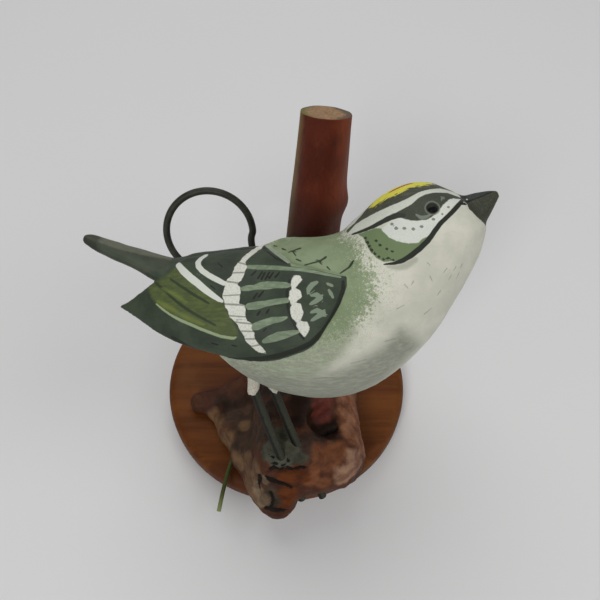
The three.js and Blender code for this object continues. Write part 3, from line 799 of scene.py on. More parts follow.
EYE_LINE = [
    [[11.6, 18.8, 0.2], [12.8, 19.1, 0.32], [14.3, 19.5, 0.36], [15.9, 20.1, 0.42], [17.5, 20.9, 0.5],
     [19.1, 21.7, 0.58], [20.5, 22.1, 0.6], [21.7, 22.1, 0.5]],
]
EYE_LIGHTS = [  # grey touches round the eye
    [[24.3, 22.1, 0.2], [25.2, 21.4, 0.4], [26.3, 21.5, 0.36], [27.3, 22.1, 0.2]],
    line([[30, 26.2], [29.8, 25.1]], 0.12),
    line([[30.6, 26.2], [30.5, 25.6]], 0.1),
]

CHEEK_DOTS = [
    [19.4, 20.3, 0.35], [20.2, 19.3, 0.4], [21.8, 19.2, 0.36], [23.6, 19, 0.38], [25.3, 19.5, 0.37],
    [27.7, 21, 0.34], [29.6, 22.1, 0.28], [31.1, 23.7, 0.3],
]
PATCH_DOTS = [
    [16.1, 16.8, 0.33], [16.9, 15.8, 0.33], [18.2, 14.9, 0.33], [19.3, 14.4, 0.28],
    [14, 17.6, 0.33], [14.4, 16.6, 0.33], [14.7, 15.7, 0.33], [15.2, 14.8, 0.34], [15.8, 14, 0.33],
    [16.6, 13.3, 0.33], [17.5, 12.8, 0.33], [18.4, 13, 0.33], [19.4, 12.6, 0.3],
]

SCRATCHES = [  # fine grey scratches on the breast
    line(ends, 0.13, 0.08) for ends in (
        [[33.1, 11.4], [32.5, 10.4]], [[34.1, 10.2], [33.6, 8.7]], [[34.5, 11.9], [34.2, 11.1]],
        [[32.2, 9.5], [31.6, 8.5]], [[31, 11], [30.2, 9.9]], [[27.3, 9.3], [27.9, 8.2]],
        [[21.8, 7.6], [22.6, 6.7]], [[23.7, 8.2], [23.3, 7.4]], [[26.5, 12.1], [27.2, 11.5]],
        [[30.1, 6.4], [29.3, 5.1]], [[26.6, 1.2], [28.4, 2.6]], [[20.4, 2.4], [22, 3.2]],
        [[18, -4.6], [20.6, -4]], [[11, -9.4], [14.4, -8.6]], [[3, -13], [7.6, -12.6]],
        [[-6, -12.8], [-2, -13.4]], [[14.6, -12.4], [17.4, -10.8]],
    )
]

BEAK_JOIN = [line([[35.5, 26.9], [36.6, 27.1]], 0.3), line([[34.4, 24.8], [35.6, 24.9]], 0.32)]
BEAK_SPOT = [[36.7, 26.4, 0.22]]
GAPE = [line(GAPE_LINE, 0.24, 0.1)]

STROKES = {
    "stripes": STRIPES, "white_lines": WHITE_LINES, "olive_edge": OLIVE_EDGE, "olive_streaks": OLIVE_STREAKS,
    "wing_rim": WING_RIM, "bar_cuts": BAR_CUTS, "hatching": HATCHING, "commas": COMMAS,
    "mantle_strokes": MANTLE_STROKES, "moustache": MOUSTACHE, "moustache_shadow": MOUSTACHE_SHADOW,
    "eye_line": EYE_LINE, "eye_lights": EYE_LIGHTS, "scratches": SCRATCHES, "beak_join": BEAK_JOIN,
    "gape": GAPE, "wedge": WEDGE, "olive_lights": OLIVE_LIGHTS,
}
DOTS = {"cheek_dots": CHEEK_DOTS, "patch_dots": PATCH_DOTS, "beak_spot": BEAK_SPOT}


def paint_bird(mesh, points, trees):
    """Keeps the painted shapes' places for each point of the bird's skin."""
    flat = paint_plane(points)
    store(mesh, "bird_place", points)
    for name, outline in REGIONS.items():
        store(mesh, name, inside(flat, outline))
    store(mesh, "front_bar", np.max([inside(flat, block) for block in FRONT_BAR], axis=0))
    store(mesh, "crest", inside(points[:, :2], CREST))
    for name, rows in STROKES.items():
        store(mesh, name, strokes(flat, rows))
    for name, rows in DOTS.items():
        store(mesh, name, dots(flat, rows))
    body = distances(trees["body"], points)
    for name in ("wing", "tail", "tuft"):
        store(mesh, name, body - distances(trees[name], points))
    eye = np.array(EYE)
    store(mesh, "from_eye", np.linalg.norm(np.stack([
        points[:, 0] - eye[0],
        np.maximum(np.abs(points[:, 1]) - eye[1], 0),
        points[:, 2] - eye[2],
    ], -1), axis=1))


def bird_mesh():
    body, tail = body_skin(), tail_skin()
    wings = [wing_skin(-1), wing_skin(1)]
    tufts = [tuft_skin(RIGHT_LEG, 0.7, 1), tuft_skin(LEFT_LEG, -0.5, 4)]
    mesh = fused("carved_bird", [body, *wings, tail, *tufts], BIRD_VOXEL)
    points = smoothed(mesh, points_of(mesh), 2, 0.4)
    trees = {"body": tree_of(body), "wing": tree_of(together(wings)), "tail": tree_of(tail),
             "tuft": tree_of(together(tufts))}
    paint_bird(mesh, points, trees)
    move_points(mesh, points)
    points = points + normals_of(mesh) * (0.12 * rough_noise(points, 6, 3))[:, None]
    move_points(mesh, in_world_frame(points))
    return mesh


# Bird: its paint

def bird_finish():
    f = Finish("painted_wood")
    place = f.kept("bird_place", vector=True)
    x, y, z = f.parts(place)
    wobble = (f.noise(place, 0.9, 3, 0.6) - 0.5) * 0.5
    fine = f.noise(place, 0.35, 3, 0.6)
    cloud = f.noise(place, 6, 4, 0.55)
    brush = f.noise(f.stretched(place, (0.25, 1, 1)), 0.7, 4, 0.6, 0.4)
    grains = f.noise(place, 0.8, 2, 0.7) * 0.5 + f.noise(place, 0.35, 2, 0.7) * 0.5

    def area(name, soft=0.12, shift=0.0):
        return (f.kept(name) + wobble + shift).step(-soft, soft)

    def strokes_of(name, soft=0.08, ragged=0.3):
        beside, half, _ = f.parts(f.kept(name, vector=True))
        return (half - abs(beside) + wobble * ragged).step(-soft, soft)

    # breast, belly and mantle
    cream = f.mix(cloud.step(0.35, 0.7), shade("#c9c9ba"), shade("#d9d7c9"))
    cream = f.mix(grains.step(0.56, 0.7) * 0.3, cream, shade("#b4b5a2"))
    # Painted shade: the cream is made darker towards the tail and the underside.
    low = ((x * -0.5 - z) + cloud * 8 - 2).step(-4, 16)
    cream = f.mix(low * 0.6, cream, shade("#a5aa97"))
    flank = f.mix(brush.step(0.4, 0.7), shade("#8c957d"), shade("#a3ab95"))
    cream = f.mix(area("flank", 1.6, 0.4) * 0.85, cream, flank)
    cream = f.mix(brush.step(0.56, 0.76) * 0.3, cream, shade("#b3b9a6"))
    # The belly's underside: grey-sage paint, made darker still as painted shade.
    under = f.mix(brush.step(0.4, 0.7), shade("#83877a"), shade("#9a9c8c"))
    cream = f.mix(area("belly_low", 2.2, 0.6) * 0.9, cream, under)
    cream = f.mix(strokes_of("scratches") * 0.55, cream, shade("#7c8072"))
    sage = f.mix(cloud.step(0.3, 0.7), shade("#7c8a68"), shade("#8c9a79"))
    sage = f.mix(brush.step(0.55, 0.8) * 0.35, sage, shade("#6c7a5b"))
    border = f.kept("mantle")
    mantle = ((grains - 0.5) * 2.2 + (border - 2) / 9).step(-0.12, 0.12)
    colour = f.mix(mantle, cream, sage)
    zone = (border + 5).step(0, 4) * (9 - border).step(0, 6)
    colour = f.mix(fine.step(0.56, 0.66) * zone * 0.7, colour, shade("#b9c49a"))
    colour = f.mix((0.45 - fine).step(0.02, 0.1) * zone * 0.35, colour, shade("#7d8a68"))

    # face
    colour = f.mix(area("cheek_patch"), colour, f.mix(cloud, shade("#687a54"), shade("#74865f")))
    colour = f.mix(strokes_of("moustache_shadow", 0.5) * 0.55, colour, shade("#8d927f"))
    colour = f.mix(area("cheek"), colour, f.mix(fine.step(0.5, 0.7) * 0.4, shade("#d6d9d0"), shade("#b9c0b4")))
    slate = f.mix(fine.step(0.45, 0.7) * 0.5, shade("#3b4034"), shade("#4f5748"))
    colour = f.mix(area("mask"), colour, slate)
    crown = f.mix(brush.step(0.45, 0.7), shade("#43463a"), shade("#575a4b"))
    colour = f.mix(area("crown"), colour, crown)
    on_top = z.step(17, 19)
    jagged = (f.noise(f.stretched(place, (0.5, 2.2, 0.5)), 0.9, 2, 0.6) - 0.5) * 5
    colour = f.mix((f.kept("crest") + wobble * 2 + jagged).step(-0.2, 0.2) * on_top, colour,
                   f.mix(brush.step(0.4, 0.6), shade("#e2de38"), shade("#ddd35a")))
    red = (0.55 - abs(y - CREST_MIDDLE) + wobble).step(-0.15, 0.15) * x.step(19.5, 20.5) * (25.6 - x).step(0, 1)
    colour = f.mix(red * on_top, colour, shade("#a63c24"))
    brow = f.mix(fine.step(0.45, 0.7) * 0.4, shade("#cfd3c6"), shade("#b0b8a8"))
    colour = f.mix(area("brow"), colour, brow)
    colour = f.mix(strokes_of("eye_line"), colour, shade("#2d3129"))
    colour = f.mix(strokes_of("moustache"), colour, shade("#23261f"))
    colour = f.mix(strokes_of("cheek_dots") * 0.75, colour, shade("#4c5147"))
    colour = f.mix(strokes_of("patch_dots"), colour, shade("#2f3528"))
    colour = f.mix(strokes_of("eye_lights", 0.12) * 0.6, colour, shade("#8f958a"))
    from_eye = f.kept("from_eye") + wobble * 0.3
    colour = f.mix((1.86 - from_eye).step(-0.08, 0.08) * 0.75, colour, shade("#737a6e"))
    colour = f.mix((1.64 - from_eye).step(-0.06, 0.06), colour, shade("#2f332a"))
    colour = f.mix(strokes_of("mantle_strokes") * mantle.most(0.4), colour, shade("#2c3626"))

    # back, tail and thighs
    dark = f.mix(cloud.step(0.35, 0.65), shade("#2e382b"), shade("#3c4636"))
    dark = f.mix(brush.step(0.5, 0.8) * 0.45, dark, shade("#262c20"))
    behind = area("back", 0.3) * (0.5 - border).step(-0.2, 0.2)
    colour = f.mix(behind.most(area("shoulder")) * z.step(-3, 3), colour, dark)
    tail = f.mix(cloud.step(0.35, 0.65), shade("#363d30"), shade("#454b3d"))
    # Painted highlight: the tail's upper face is painted lighter.
    tail = f.mix(area("tail_top", 0.3), tail, f.mix(brush, shade("#55574a"), shade("#747463")))
    tail = f.mix((-45.5 - x + wobble * 3).step(-0.8, 0.8) * 0.7, tail, shade("#23271e"))
    colour = f.mix((f.kept("tail") + wobble * 0.3).step(-0.1, 0.1), colour, tail)

    # wings
    # The wing's rim: dark outline paint with painted shade along its raised edge.
    wing = f.mix(strokes_of("wing_rim", 0.12), dark, shade("#1f241a"))
    olive = f.mix(brush.step(0.25, 0.8), shade("#444e2c"), shade("#596536"))
    wing = f.mix(area("olive", 0.5), wing, olive)
    wing = f.mix(strokes_of("olive_streaks", 0.15), wing, shade("#2e3a24"))
    wing = f.mix(strokes_of("olive_lights", 0.6, 0.9) * 0.6, wing, shade("#737f3c"))
    wing = f.mix(strokes_of("olive_edge"), wing, shade("#93a17c"))
    stripe = f.mix(brush.step(0.4, 0.7), shade("#6f7e66"), shade("#88967b"))
    wing = f.mix(strokes_of("stripes"), wing, stripe)
    wing = f.mix(strokes_of("commas"), wing, shade("#7d8a76"))
    white = f.mix(fine.step(0.4, 0.7), shade("#dcdcd2"), shade("#c6c7b9"))
    wing = f.mix(area("main_bar"), wing, white)
    wing = f.mix(area("front_bar", 0.1, 0.05), wing, white)
    wing = f.mix(strokes_of("white_lines"), wing, shade("#d2d6cc"))
    wing = f.mix(strokes_of("hatching", ragged=0.15), wing, shade("#191d15"))
    below_mantle = (0.05 - f.kept("mantle_lap") + wobble * 0.4).step(-0.1, 0.1)
    colour = f.mix((f.kept("wing") + wobble * 0.3).step(-0.12, 0.12) * below_mantle, colour, wing)
    colour = f.mix(area("main_bar"), colour, white)
    colour = f.mix(strokes_of("bar_cuts", ragged=0.2) * 0.6, colour, shade("#3a4034"))
    colour = f.mix(strokes_of("wedge"), colour, f.mix(brush, shade("#8b977e"), shade("#a3ad97")))

    # beak
    beak = area("beak")
    upper = f.mix(fine.step(0.4, 0.7), shade("#2b2f2c"), shade("#3d423e"))
    lower = f.mix(fine.step(0.4, 0.7), shade("#34372a"), shade("#45483a"))
    colour = f.mix(beak, colour, f.mix(area("lower_beak"), upper, lower))
    colour = f.mix(strokes_of("gape") * beak, colour, shade("#12140d"))
    colour = f.mix(strokes_of("beak_join"), colour, shade("#14160f"))
    colour = f.mix(strokes_of("beak_spot"), colour, shade("#c9ccc0"))
    colour = f.mix((f.kept("tuft") + wobble * 0.3).step(-0.1, 0.1), colour,
                   f.mix(fine.step(0.4, 0.65), shade("#d2cbbb"), shade("#a9a796")))

    relief = f.bump(brush, 0.12, 0.6)
    relief = f.bump(fine, 0.05, 0.5, below=relief)
    return f.close(Base_Color=colour, Roughness=0.5 + cloud * 0.15, Specular_IOR_Level=0.3, Normal=relief)


# Burl and stick

LIMB_BLEND, HOLLOW_BLEND, BREAK_BLEND, STICK_BLEND = 2, 3, 1.5, 6

BURL_TONES = {  # where the burl's colour changes, weathered tones with painted shade and painted highlights among them: x, y, z, radius; later ones lie over earlier ones
    "brown_grey": [
        [-10.3, -17.6, 18.8, 6.5], [-6, -25.9, 27.5, 6], [-9.9, -22.8, 19.8, 6], [-12.9, -23.6, 18.2, 5.5],
        [-16, -14.8, 15.3, 5.5], [-12.9, -14.6, 16.9, 5.5], [-10.4, -14, 18.5, 5], [-14.3, -27, 16.8, 5.5],
        [-11.2, -27.5, 19.6, 5.5], [2, -12, 30, 8],
    ],
    # painted shade: the hollows, the wood beside the far leg and the wood under the bird
    "dark": [
        [-19.1, -12.3, 16.2, 4.5], [-13.6, -11.2, 18, 4.5], [5.9, -21.2, 26.9, 4.5], [4.5, -19.5, 29.7, 5],
        [3.9, -24.2, 30.3, 3], [11.6, -23.8, 22.4, 4], [14.4, -23.2, 23.2, 3.4], [8.7, -24.1, 23.2, 3],
        [-8, -10, 26, 7], [-3.9, -20.4, 28.6, 4], [6, -12, 30, 8], [-6.8, -38.2, 24.1, 1.8],
    ],
    # pale tan weathered wood along the left edges, made lighter still as painted highlight
    "tan": [
        [-21.8, -15.7, 12, 3.6], [-19.5, -18.3, 12, 4], [-16.2, -22.9, 14.1, 4], [-11.9, -20.5, 18.1, 2.2],
        [-14.3, -29, 15.8, 2.6], [-12, -31.3, 17.4, 3], [-10, -32.4, 20.3, 3.6], [-7.7, -36.1, 24.5, 3],
        [-9.3, -37.2, 19.5, 4.4], [-7.5, -41, 17, 4],
    ],
    "grey_green": [
        [-3.5, -32.5, 30, 3.6], [0.5, -30.1, 30.8, 4.4], [4.5, -33.2, 30.1, 4], [2.4, -35.5, 29.8, 3],
        [-1.3, -35.4, 30.2, 3],
    ],
    "dark_red": [[10.2, -16.2, 26, 4.5], [9.3, -18.1, 23.9, 3.4], [10.5, -19.3, 22.5, 3.4]],
    # painted highlight down the burl's right side, over its pink-brown wood
    "light_band": [
        [19.1, -14.4, 22.1, 5], [19.5, -19.2, 22.4, 5], [19.7, -24.8, 23.3, 5], [22, -19.5, 19.4, 4.5],
        [20, -8, 21, 6], [22, -26, 18, 5],
    ],
    "purple_brown": [[7.1, -30.9, 29.4, 4], [12.7, -28.2, 26, 5], [10, -27.7, 26.9, 4.5]],
    "orange_brown": [
        [9.9, -32.9, 27.1, 3.6], [12.6, -33.8, 25.7, 4.6], [15.4, -31, 25.8, 4.4], [7.1, -38.4, 24.9, 3.2],
        [8.5, -36.7, 26.3, 2.4], [11.2, -39.4, 22, 2.6],
    ],
    # painted highlight on the right lobe's pink wood
    "pale_pink": [
        [19.6, -32.4, 23.6, 3.6], [20.2, -33.9, 22.1, 4.4], [16.7, -36.7, 22.2, 4],
    ],
    "orange_face": [
        [0.5, -39, 26.6, 3.4], [4.5, -38.8, 26.1, 3.2], [3.7, -37.7, 27.7, 2.4], [1.2, -42, 21.9, 3.2],
        [-0.1, -43.5, 20.5, 3],
    ],
    "grey_chips": [[-3.6, -41.4, 22.5, 2.4], [-2.3, -43.1, 20.8, 2], [-4.1, -44.1, 19.8, 2.4]],
    "cream": [[-5.1, -39, 25.2, 1.6], [-6.9, -40.4, 20.8, 2.6], [-5.8, -42.9, 20.1, 2.6]],
}
BURL_TONE_COLOURS = {
    "brown_grey": ("#33251b", "#4c382a"), "dark": ("#1f120a", "#342013"), "tan": ("#503824", "#72563c"),
    "grey_green": ("#38372c", "#58584b"), "dark_red": ("#4c201a", "#6e362b"),
    "light_band": ("#653c28", "#97684c"), "purple_brown": ("#2b1d17", "#422e26"),
    "orange_brown": ("#58321e", "#7a4a2e"), "pale_pink": ("#6e4c3a", "#a07c64"),
    "orange_face": ("#3e1a04", "#62300b"), "grey_chips": ("#2a2119", "#463829"),
    "cream": ("#5c4b39", "#857059"),
}
CRACKS = [  # x, y, z, half width
    [[-4.6, -37.6, 28, 0.1], [-2.6, -37, 28.8, 0.3], [-1, -37.6, 28.4, 0], [1, -37, 28.8, 0.3],
     [2.6, -37.5, 28.3, 0.1], [4.4, -36.8, 28.2, 0.3], [7, -36.6, 27.6, 0.1]],
    [[-5, -38.8, 26.2, 0.3], [-3, -39.4, 25.6, 0.8], [-0.9, -40, 24.8, 0.5], [2.3, -40.7, 23.5, 0.1]],
    [[-4.8, -44.8, 18.8, 0.4], [-1, -45.2, 18, 0.5], [1.6, -44.6, 17.4, 0]],
    [[-6.6, -38, 24.6, 0.6], [-7.2, -39, 22.4, 0.2], [-6.4, -41.4, 19.4, 0]],
    [[-3.6, -41.8, 22.4, 0.1], [-2.8, -43.4, 20.6, 0.3], [-3.4, -44.6, 19, 0.2]],
    [[9.8, -25.8, 23.2, 0], [12, -24.8, 22.2, 0.6], [14.6, -23.6, 22.8, 0.4], [16.4, -22.4, 22.4, 0]],
    [[-17, -21, 14.4, 0], [-14.8, -22.4, 15.8, 0.2], [-13.4, -25, 17.2, 0]],
]
CLAWS = [  # black touches of paint round the near foot
    [[-4, -33.6, 29.8, 0.1], [-2.6, -34.6, 30, 0.4]], [[-3.4, -36, 29.4, 0.3], [-1.6, -36.2, 29.8, 0.4]],
    [[-0.4, -36.6, 29.6, 0.3], [0.8, -36.4, 29.8, 0.3]], [[1, -34.4, 30.4, 0.1], [1.4, -35.6, 30.2, 0.4]],
]
CRACK_DEPTH, CRACK_WIDTH = 0.8, 0.5
CUT_RISE = 0.1  # the cut of the stick's top is closer to square than on the solid


def limb_distance(points, start, end):
    start, end = np.array(start, float), np.array(end, float)
    run = end[:3] - start[:3]
    share = np.clip(((points - start[:3]) @ run) / (run @ run), 0, 1)
    off = np.linalg.norm(points - start[:3] - share[..., None] * run, axis=-1)
    return off - (start[3] + share * (end[3] - start[3]))


def chain_distance(points, chain, blend):
    whole = np.full(points.shape[:-1], 1e3)
    for start, end in zip(chain, chain[1:]):
        whole = soft_min(whole, limb_distance(points, start, end), blend)
    return whole


def soft_min(a, b, blend):
    h = np.maximum(blend - np.abs(a - b), 0) / blend
    return np.minimum(a, b) - h * h * blend / 4


def burl_field(points):
    """Distance to the burl's surface, negative inside it."""
    field = np.full(points.shape[:-1], 1e3)
    for chain in LIMBS:
        field = soft_min(field, chain_distance(points, chain, LIMB_BLEND), BURL_BLEND)
    for x, y, z, radius in HOLLOWS:
        dent = radius - np.linalg.norm(points - np.array([x, y, z]), axis=-1)
        field = -soft_min(-field, -dent, HOLLOW_BLEND)
    broken = (points - BROKEN_POINT) @ BROKEN_NORMAL
    field = -soft_min(-field, -broken, BREAK_BLEND)
    field = soft_min(field, chain_distance(points, RED_KNOB, LIMB_BLEND), KNOB_BLEND)
    field = soft_min(field, limb_distance(points, STICK[0], STICK[1]), STICK_BLEND)
    return np.maximum(field, BASE_THICKNESS + BURL_CLEARANCE - points[..., 2])


def nearest_line(points, lines):
    """How far points lie from the nearest of some lines, each a list of x, y, z, half width."""
    return np.min([limb_distance(points, a, b) for rows in lines for a, b in zip(rows, rows[1:])], axis=0)


def burl_mesh():
    mesh = new_mesh("root_burl", *surface(burl_field, BURL_LOW, BURL_HIGH, BURL_CELL))
    points = smoothed(mesh, points_of(mesh), 2)
    move_points(mesh, points)
    for name, spots in BURL_TONES.items():
        store(mesh, name, np.max([1 - np.linalg.norm(points - spot[:3], axis=1) / spot[3]
                                  for spot in np.array(spots, float)], axis=0))
    crack = nearest_line(points, CRACKS)
    store(mesh, "crack", crack)
    store(mesh, "claws", nearest_line(points, CLAWS))
    relief = 0.5 * rough_noise(points, 7, 4, 2) + 0.15 * rough_noise(points, 2.4, 3, 5)
    relief -= CRACK_DEPTH * np.exp(-(np.maximum(crack, 0) / CRACK_WIDTH) ** 2)
    points = points + normals_of(mesh) * relief[:, None]
    points[:, 2] = np.maximum(points[:, 2], BASE_THICKNESS + 0.05)
    move_points(mesh, points)
    return mesh


def stick_mesh():
    """The upright stick. It keeps how far each point lies from the edge of its cut top, and its turn."""
    sides, steps = 72, 160
    start, end = np.array(STICK[0][:3], float), np.array(STICK[-1][:3], float)
    up = (end - start) / np.linalg.norm(end - start)
    across = np.array([1.0, 0, 0]) - up * up[0]
    across /= np.linalg.norm(across)
    back = np.cross(up, across)
    angles = np.linspace(0, 2 * math.pi, sides, endpoint=False)
    shares = np.linspace(0, 1, steps)
    rings = []
    for share, (x, y, z, radius) in zip(shares, along(STICK, shares)):
        near = math.exp(-(((share - KNOT_SHARE) / KNOT_WIDTH) ** 2))
        turned = np.maximum(0, np.cos(angles - math.radians(KNOT_TURN)))
        reach = radius + KNOT_HEIGHT * near * turned ** 4
        reach = reach + 0.12 * np.sin(3 * angles + 9 * share) + 0.07 * np.sin(8 * angles - 14 * share)
        rise = CUT_RISE * reach * (1 - np.sin(angles)) * share ** STICK_RISE_FROM
        rings.append(np.array([x, y, z]) + (reach * np.cos(angles))[:, None] * across
                     + (reach * np.sin(angles))[:, None] * back + rise[:, None] * up)
    inward = (0.05, 0.2, 0.4, 0.6, 0.8)
    edge, middle = rings[-1], rings[-1].mean(0)
    rings += [edge + (middle - edge) * share for share in inward]
    mesh = new_mesh("upright_stick", *skin(np.array(rings)))
    cut = np.append(np.repeat([0] * steps + list(inward), sides), [0, 1])
    turn = np.append(np.tile(np.cos(angles), len(rings)), [0, 0])
    height = np.append(np.repeat(list(shares) + [1] * len(inward), sides), [0, 1])
    store(mesh, "cut", cut)
    store(mesh, "to_right", turn)
    store(mesh, "height", height)
    return mesh


def burl_finish():
    f = Finish("burl_wood")
    place = f.millimetres()
    cloud = f.noise(place, 9, 5, 0.6, 0.5)
    grain = f.noise(f.stretched(place, (0.4, 0.6, 1)), 2.2, 5, 0.6, 0.3)
    pores = f.noise(place, 0.8, 4, 0.6)
    colour = f.mix(cloud.step(0.35, 0.65), shade("#3d2114"), shade("#53301f"))
    colour = f.mix(grain.step(0.5, 0.8) * 0.3, colour, shade("#6b3a20"))
    patchy = (f.noise(place, 4, 4, 0.55) - 0.5) * 1.1
    for name, (dark, light) in BURL_TONE_COLOURS.items():
        share = (f.kept(name) + patchy - 0.12).step(-0.24, 0.26)
        tone = f.mix(grain.step(0.3, 0.7), shade(dark), shade(light))
        colour = f.mix(share, colour, tone)
    colour = f.mix(pores.step(0.56, 0.75) * 0.3, colour, shade("#1c120d"))
    crack = (0.25 - f.kept("crack") + (pores - 0.5) * 0.9).step(-0.12, 0.12)
    colour = f.mix(crack, colour, shade("#140b06"))
    claws = (0.05 - f.kept("claws") + (pores - 0.5) * 0.7).step(-0.08, 0.08)
    colour = f.mix(claws, colour, shade("#0e0f0b"))
    relief = f.bump(grain, 0.4, 0.6)
    relief = f.bump(pores, 0.15, 0.5, below=relief)
    return f.close(Base_Color=colour, Roughness=0.5 + cloud * 0.2, Specular_IOR_Level=0.16, Normal=relief)


def bark_finish():
    f = Finish("stick_bark")
    place = f.millimetres()
    turn = f.kept("to_right")
    grain = f.noise(f.stretched(place, (1, 1, 0.12)), 1.6, 5, 0.6, 0.4)
    cloud = f.noise(place, 14, 4, 0.5)
    fine = f.noise(place, 0.8, 4, 0.6)
    colour = f.mix(cloud.step(0.35, 0.65), shade("#4c1a08"), shade("#602410"))
    # Painted highlight: the stick's right side is painted lighter.
    colour = f.mix((turn + (cloud - 0.5)).step(0.15, 0.95) * 0.6, colour, shade("#83401f"))
    colour = f.mix((-0.86 - turn + (cloud - 0.5) * 0.3).step(-0.1, 0.12) * 0.7, colour, shade("#7d6438"))
    colour = f.mix(grain.step(0.5, 0.75) * 0.3, colour, shade("#7a391d"))
    shaded = (0.8 - f.kept("height") + (cloud - 0.5) * 0.15).step(0, 0.16)
    colour = f.mix(shaded * 0.6, colour, shade("#2a1108"))
    colour = f.mix(grain.step(0.3, 0.42).math("SUBTRACT", 1, grain.step(0.3, 0.42)) * 0.4, colour,
                   shade("#2c130a"))
    cut = f.kept("cut") + (fine - 0.5) * 0.12
    wood = f.mix(fine.step(0.4, 0.65), shade("#8a6a4c"), shade("#a8865f"))
    wood = f.mix((turn * -1 - 0.2).step(0, 0.6) * (0.2 - cut).step(-0.1, 0.1), wood, shade("#6d6a38"))
    # Painted shadow: a dark line along the right edge of the cut top.
    wood = f.mix((turn - 0.1).step(0, 0.6) * (0.26 - cut).step(-0.1, 0.1) * 0.8, wood, shade("#4a4640"))
    wood = f.mix((cut - 0.9).step(-0.04, 0.06) * 0.35, wood, shade("#4e3826"))
    colour = f.mix((f.kept("cut") - 0.02).step(-0.015, 0.015), colour, wood)
    relief = f.bump(grain, 0.3, 0.7)
    relief = f.bump(fine, 0.1, 0.5, below=relief)
    return f.close(Base_Color=colour, Roughness=0.46 + cloud * 0.2, Specular_IOR_Level=0.2, Normal=relief)


def surface(field, low, high, cell):
    """A closed skin where a field of distances changes sign, one point in each cell that it crosses."""
    low, high = np.array(low, float), np.array(high, float)
    size = np.ceil((high - low) / cell).astype(int) + 1
    grid = np.stack(np.meshgrid(*[low[k] + cell * np.arange(size[k]) for k in range(3)], indexing="ij"), -1)
    values = field(grid)
    solid = values < 0
    cells = size - 1
    total = np.zeros((*cells, 3))
    count = np.zeros(cells)
    corners = [(i, j, k) for i in (0, 1) for j in (0, 1) for k in (0, 1)]

    def part(array, corner):
        i, j, k = corner
        return array[i:i + cells[0], j:j + cells[1], k:k + cells[2]]

    for a in corners:
        for axis in range(3):
            if a[axis]:
                continue
            b = tuple(v + (axis == k) for k, v in enumerate(a))
            va, vb = part(values, a), part(values, b)
            crossed = (va < 0) != (vb < 0)
            share = np.where(crossed, va / np.where(crossed, va - vb, 1), 0)
            spot = np.array(a, float) + share[..., None] * (np.arange(3) == axis)
            total += np.where(crossed[..., None], spot, 0)
            count += crossed
    used = count > 0
    number = np.cumsum(used.ravel()).reshape(used.shape) - 1
    index = np.argwhere(used)
    points = low + cell * (index + total[used] / count[used][:, None])
    faces = []
    for axis in range(3):
        u, v = (axis + 1) % 3, (axis + 2) % 3
        ahead = [slice(1, -1)] * 3
        here = [slice(1, -1)] * 3
        ahead[axis] = slice(2, None)
        now, after = solid[tuple(here)], solid[tuple(ahead)]
        spots = np.argwhere(now != after) + 1
        inner = now[now != after]
        around = []
        for du, dv in ((0, 0), (-1, 0), (-1, -1), (0, -1)):
            shifted = spots.copy()
            shifted[:, u] += du
            shifted[:, v] += dv
            around.append(number[tuple(shifted.T)])
        around = np.stack(around, -1)
        around[~inner] = around[~inner][:, ::-1]
        faces += around.tolist()
    return points, faces


# Base

def base_mesh():
    profile = [[0, 0]]
    for height, turn in ((BASE_RIM, -90), (BASE_THICKNESS - BASE_RIM, 0)):
        for k in range(10):
            angle = math.radians(turn + k * 10)
            profile.append([BASE_RADIUS - BASE_RIM + BASE_RIM * math.cos(angle),
                            height + BASE_RIM * math.sin(angle)])
    angles = np.linspace(0, 2 * math.pi, 160, endpoint=False)
    rings = [np.stack([r * np.cos(angles), r * np.sin(angles), np.full_like(angles, z)], -1)
             for r, z in profile[1:]]
    inner = [np.stack([r * np.cos(angles), r * np.sin(angles), np.full_like(angles, BASE_THICKNESS)], -1)
             for r in (34, 20, 6)]
    under = [np.stack([r * np.cos(angles), r * np.sin(angles), np.zeros_like(angles)], -1) for r in (6, 20, 34)]
    return new_mesh("turned_base", *skin(np.array([*under, *rings, *inner])))


def base_finish():
    f = Finish("varnished_wood")
    place = f.millimetres()
    grain = f.noise(f.stretched(place, (0.06, 1, 1)), 1.1, 5, 0.65, 0.3)
    bands = f.noise(f.stretched(place, (0.05, 1, 1)), 6, 3, 0.5, 0.6)
    colour = f.mix(bands.step(0.3, 0.7), shade("#512706"), shade("#6a3a11"))
    colour = f.mix(grain.step(0.45, 0.75) * 0.4, colour, shade("#361a08"))
    colour = f.mix(f.noise(place, 12, 3).step(0.5, 0.75) * 0.25, colour, shade("#785228"))
    relief = f.bump(grain, 0.08, 0.5)
    return f.close(Base_Color=colour, Roughness=0.5 + grain * 0.15, Specular_IOR_Level=0.16, Normal=relief)


# Wires, stem and eyes

def leg_finish():
    f = Finish("leg_paint")
    place = f.millimetres()
    cloud = f.noise(place, 2.5, 4, 0.6)
    scratches = f.noise(place, 0.4, 3, 0.6)
    # Painted light and shade: each wire's right side is painted lighter and its left side darker; the pale
    # scratches show only on the lighter side.
    lit = (f.kept("to_right") + (cloud - 0.5) * 0.8).step(-0.3, 0.2)
    colour = f.mix(lit, shade("#12130c"), shade("#34352a"))
    colour = f.mix(scratches.step(0.6, 0.7) * 0.4 * lit, colour, shade("#5d5f50"))
    relief = f.bump(scratches, 0.06, 0.5)
    return f.close(Base_Color=colour, Roughness=0.5 + cloud * 0.2, Specular_IOR_Level=0.22, Normal=relief)


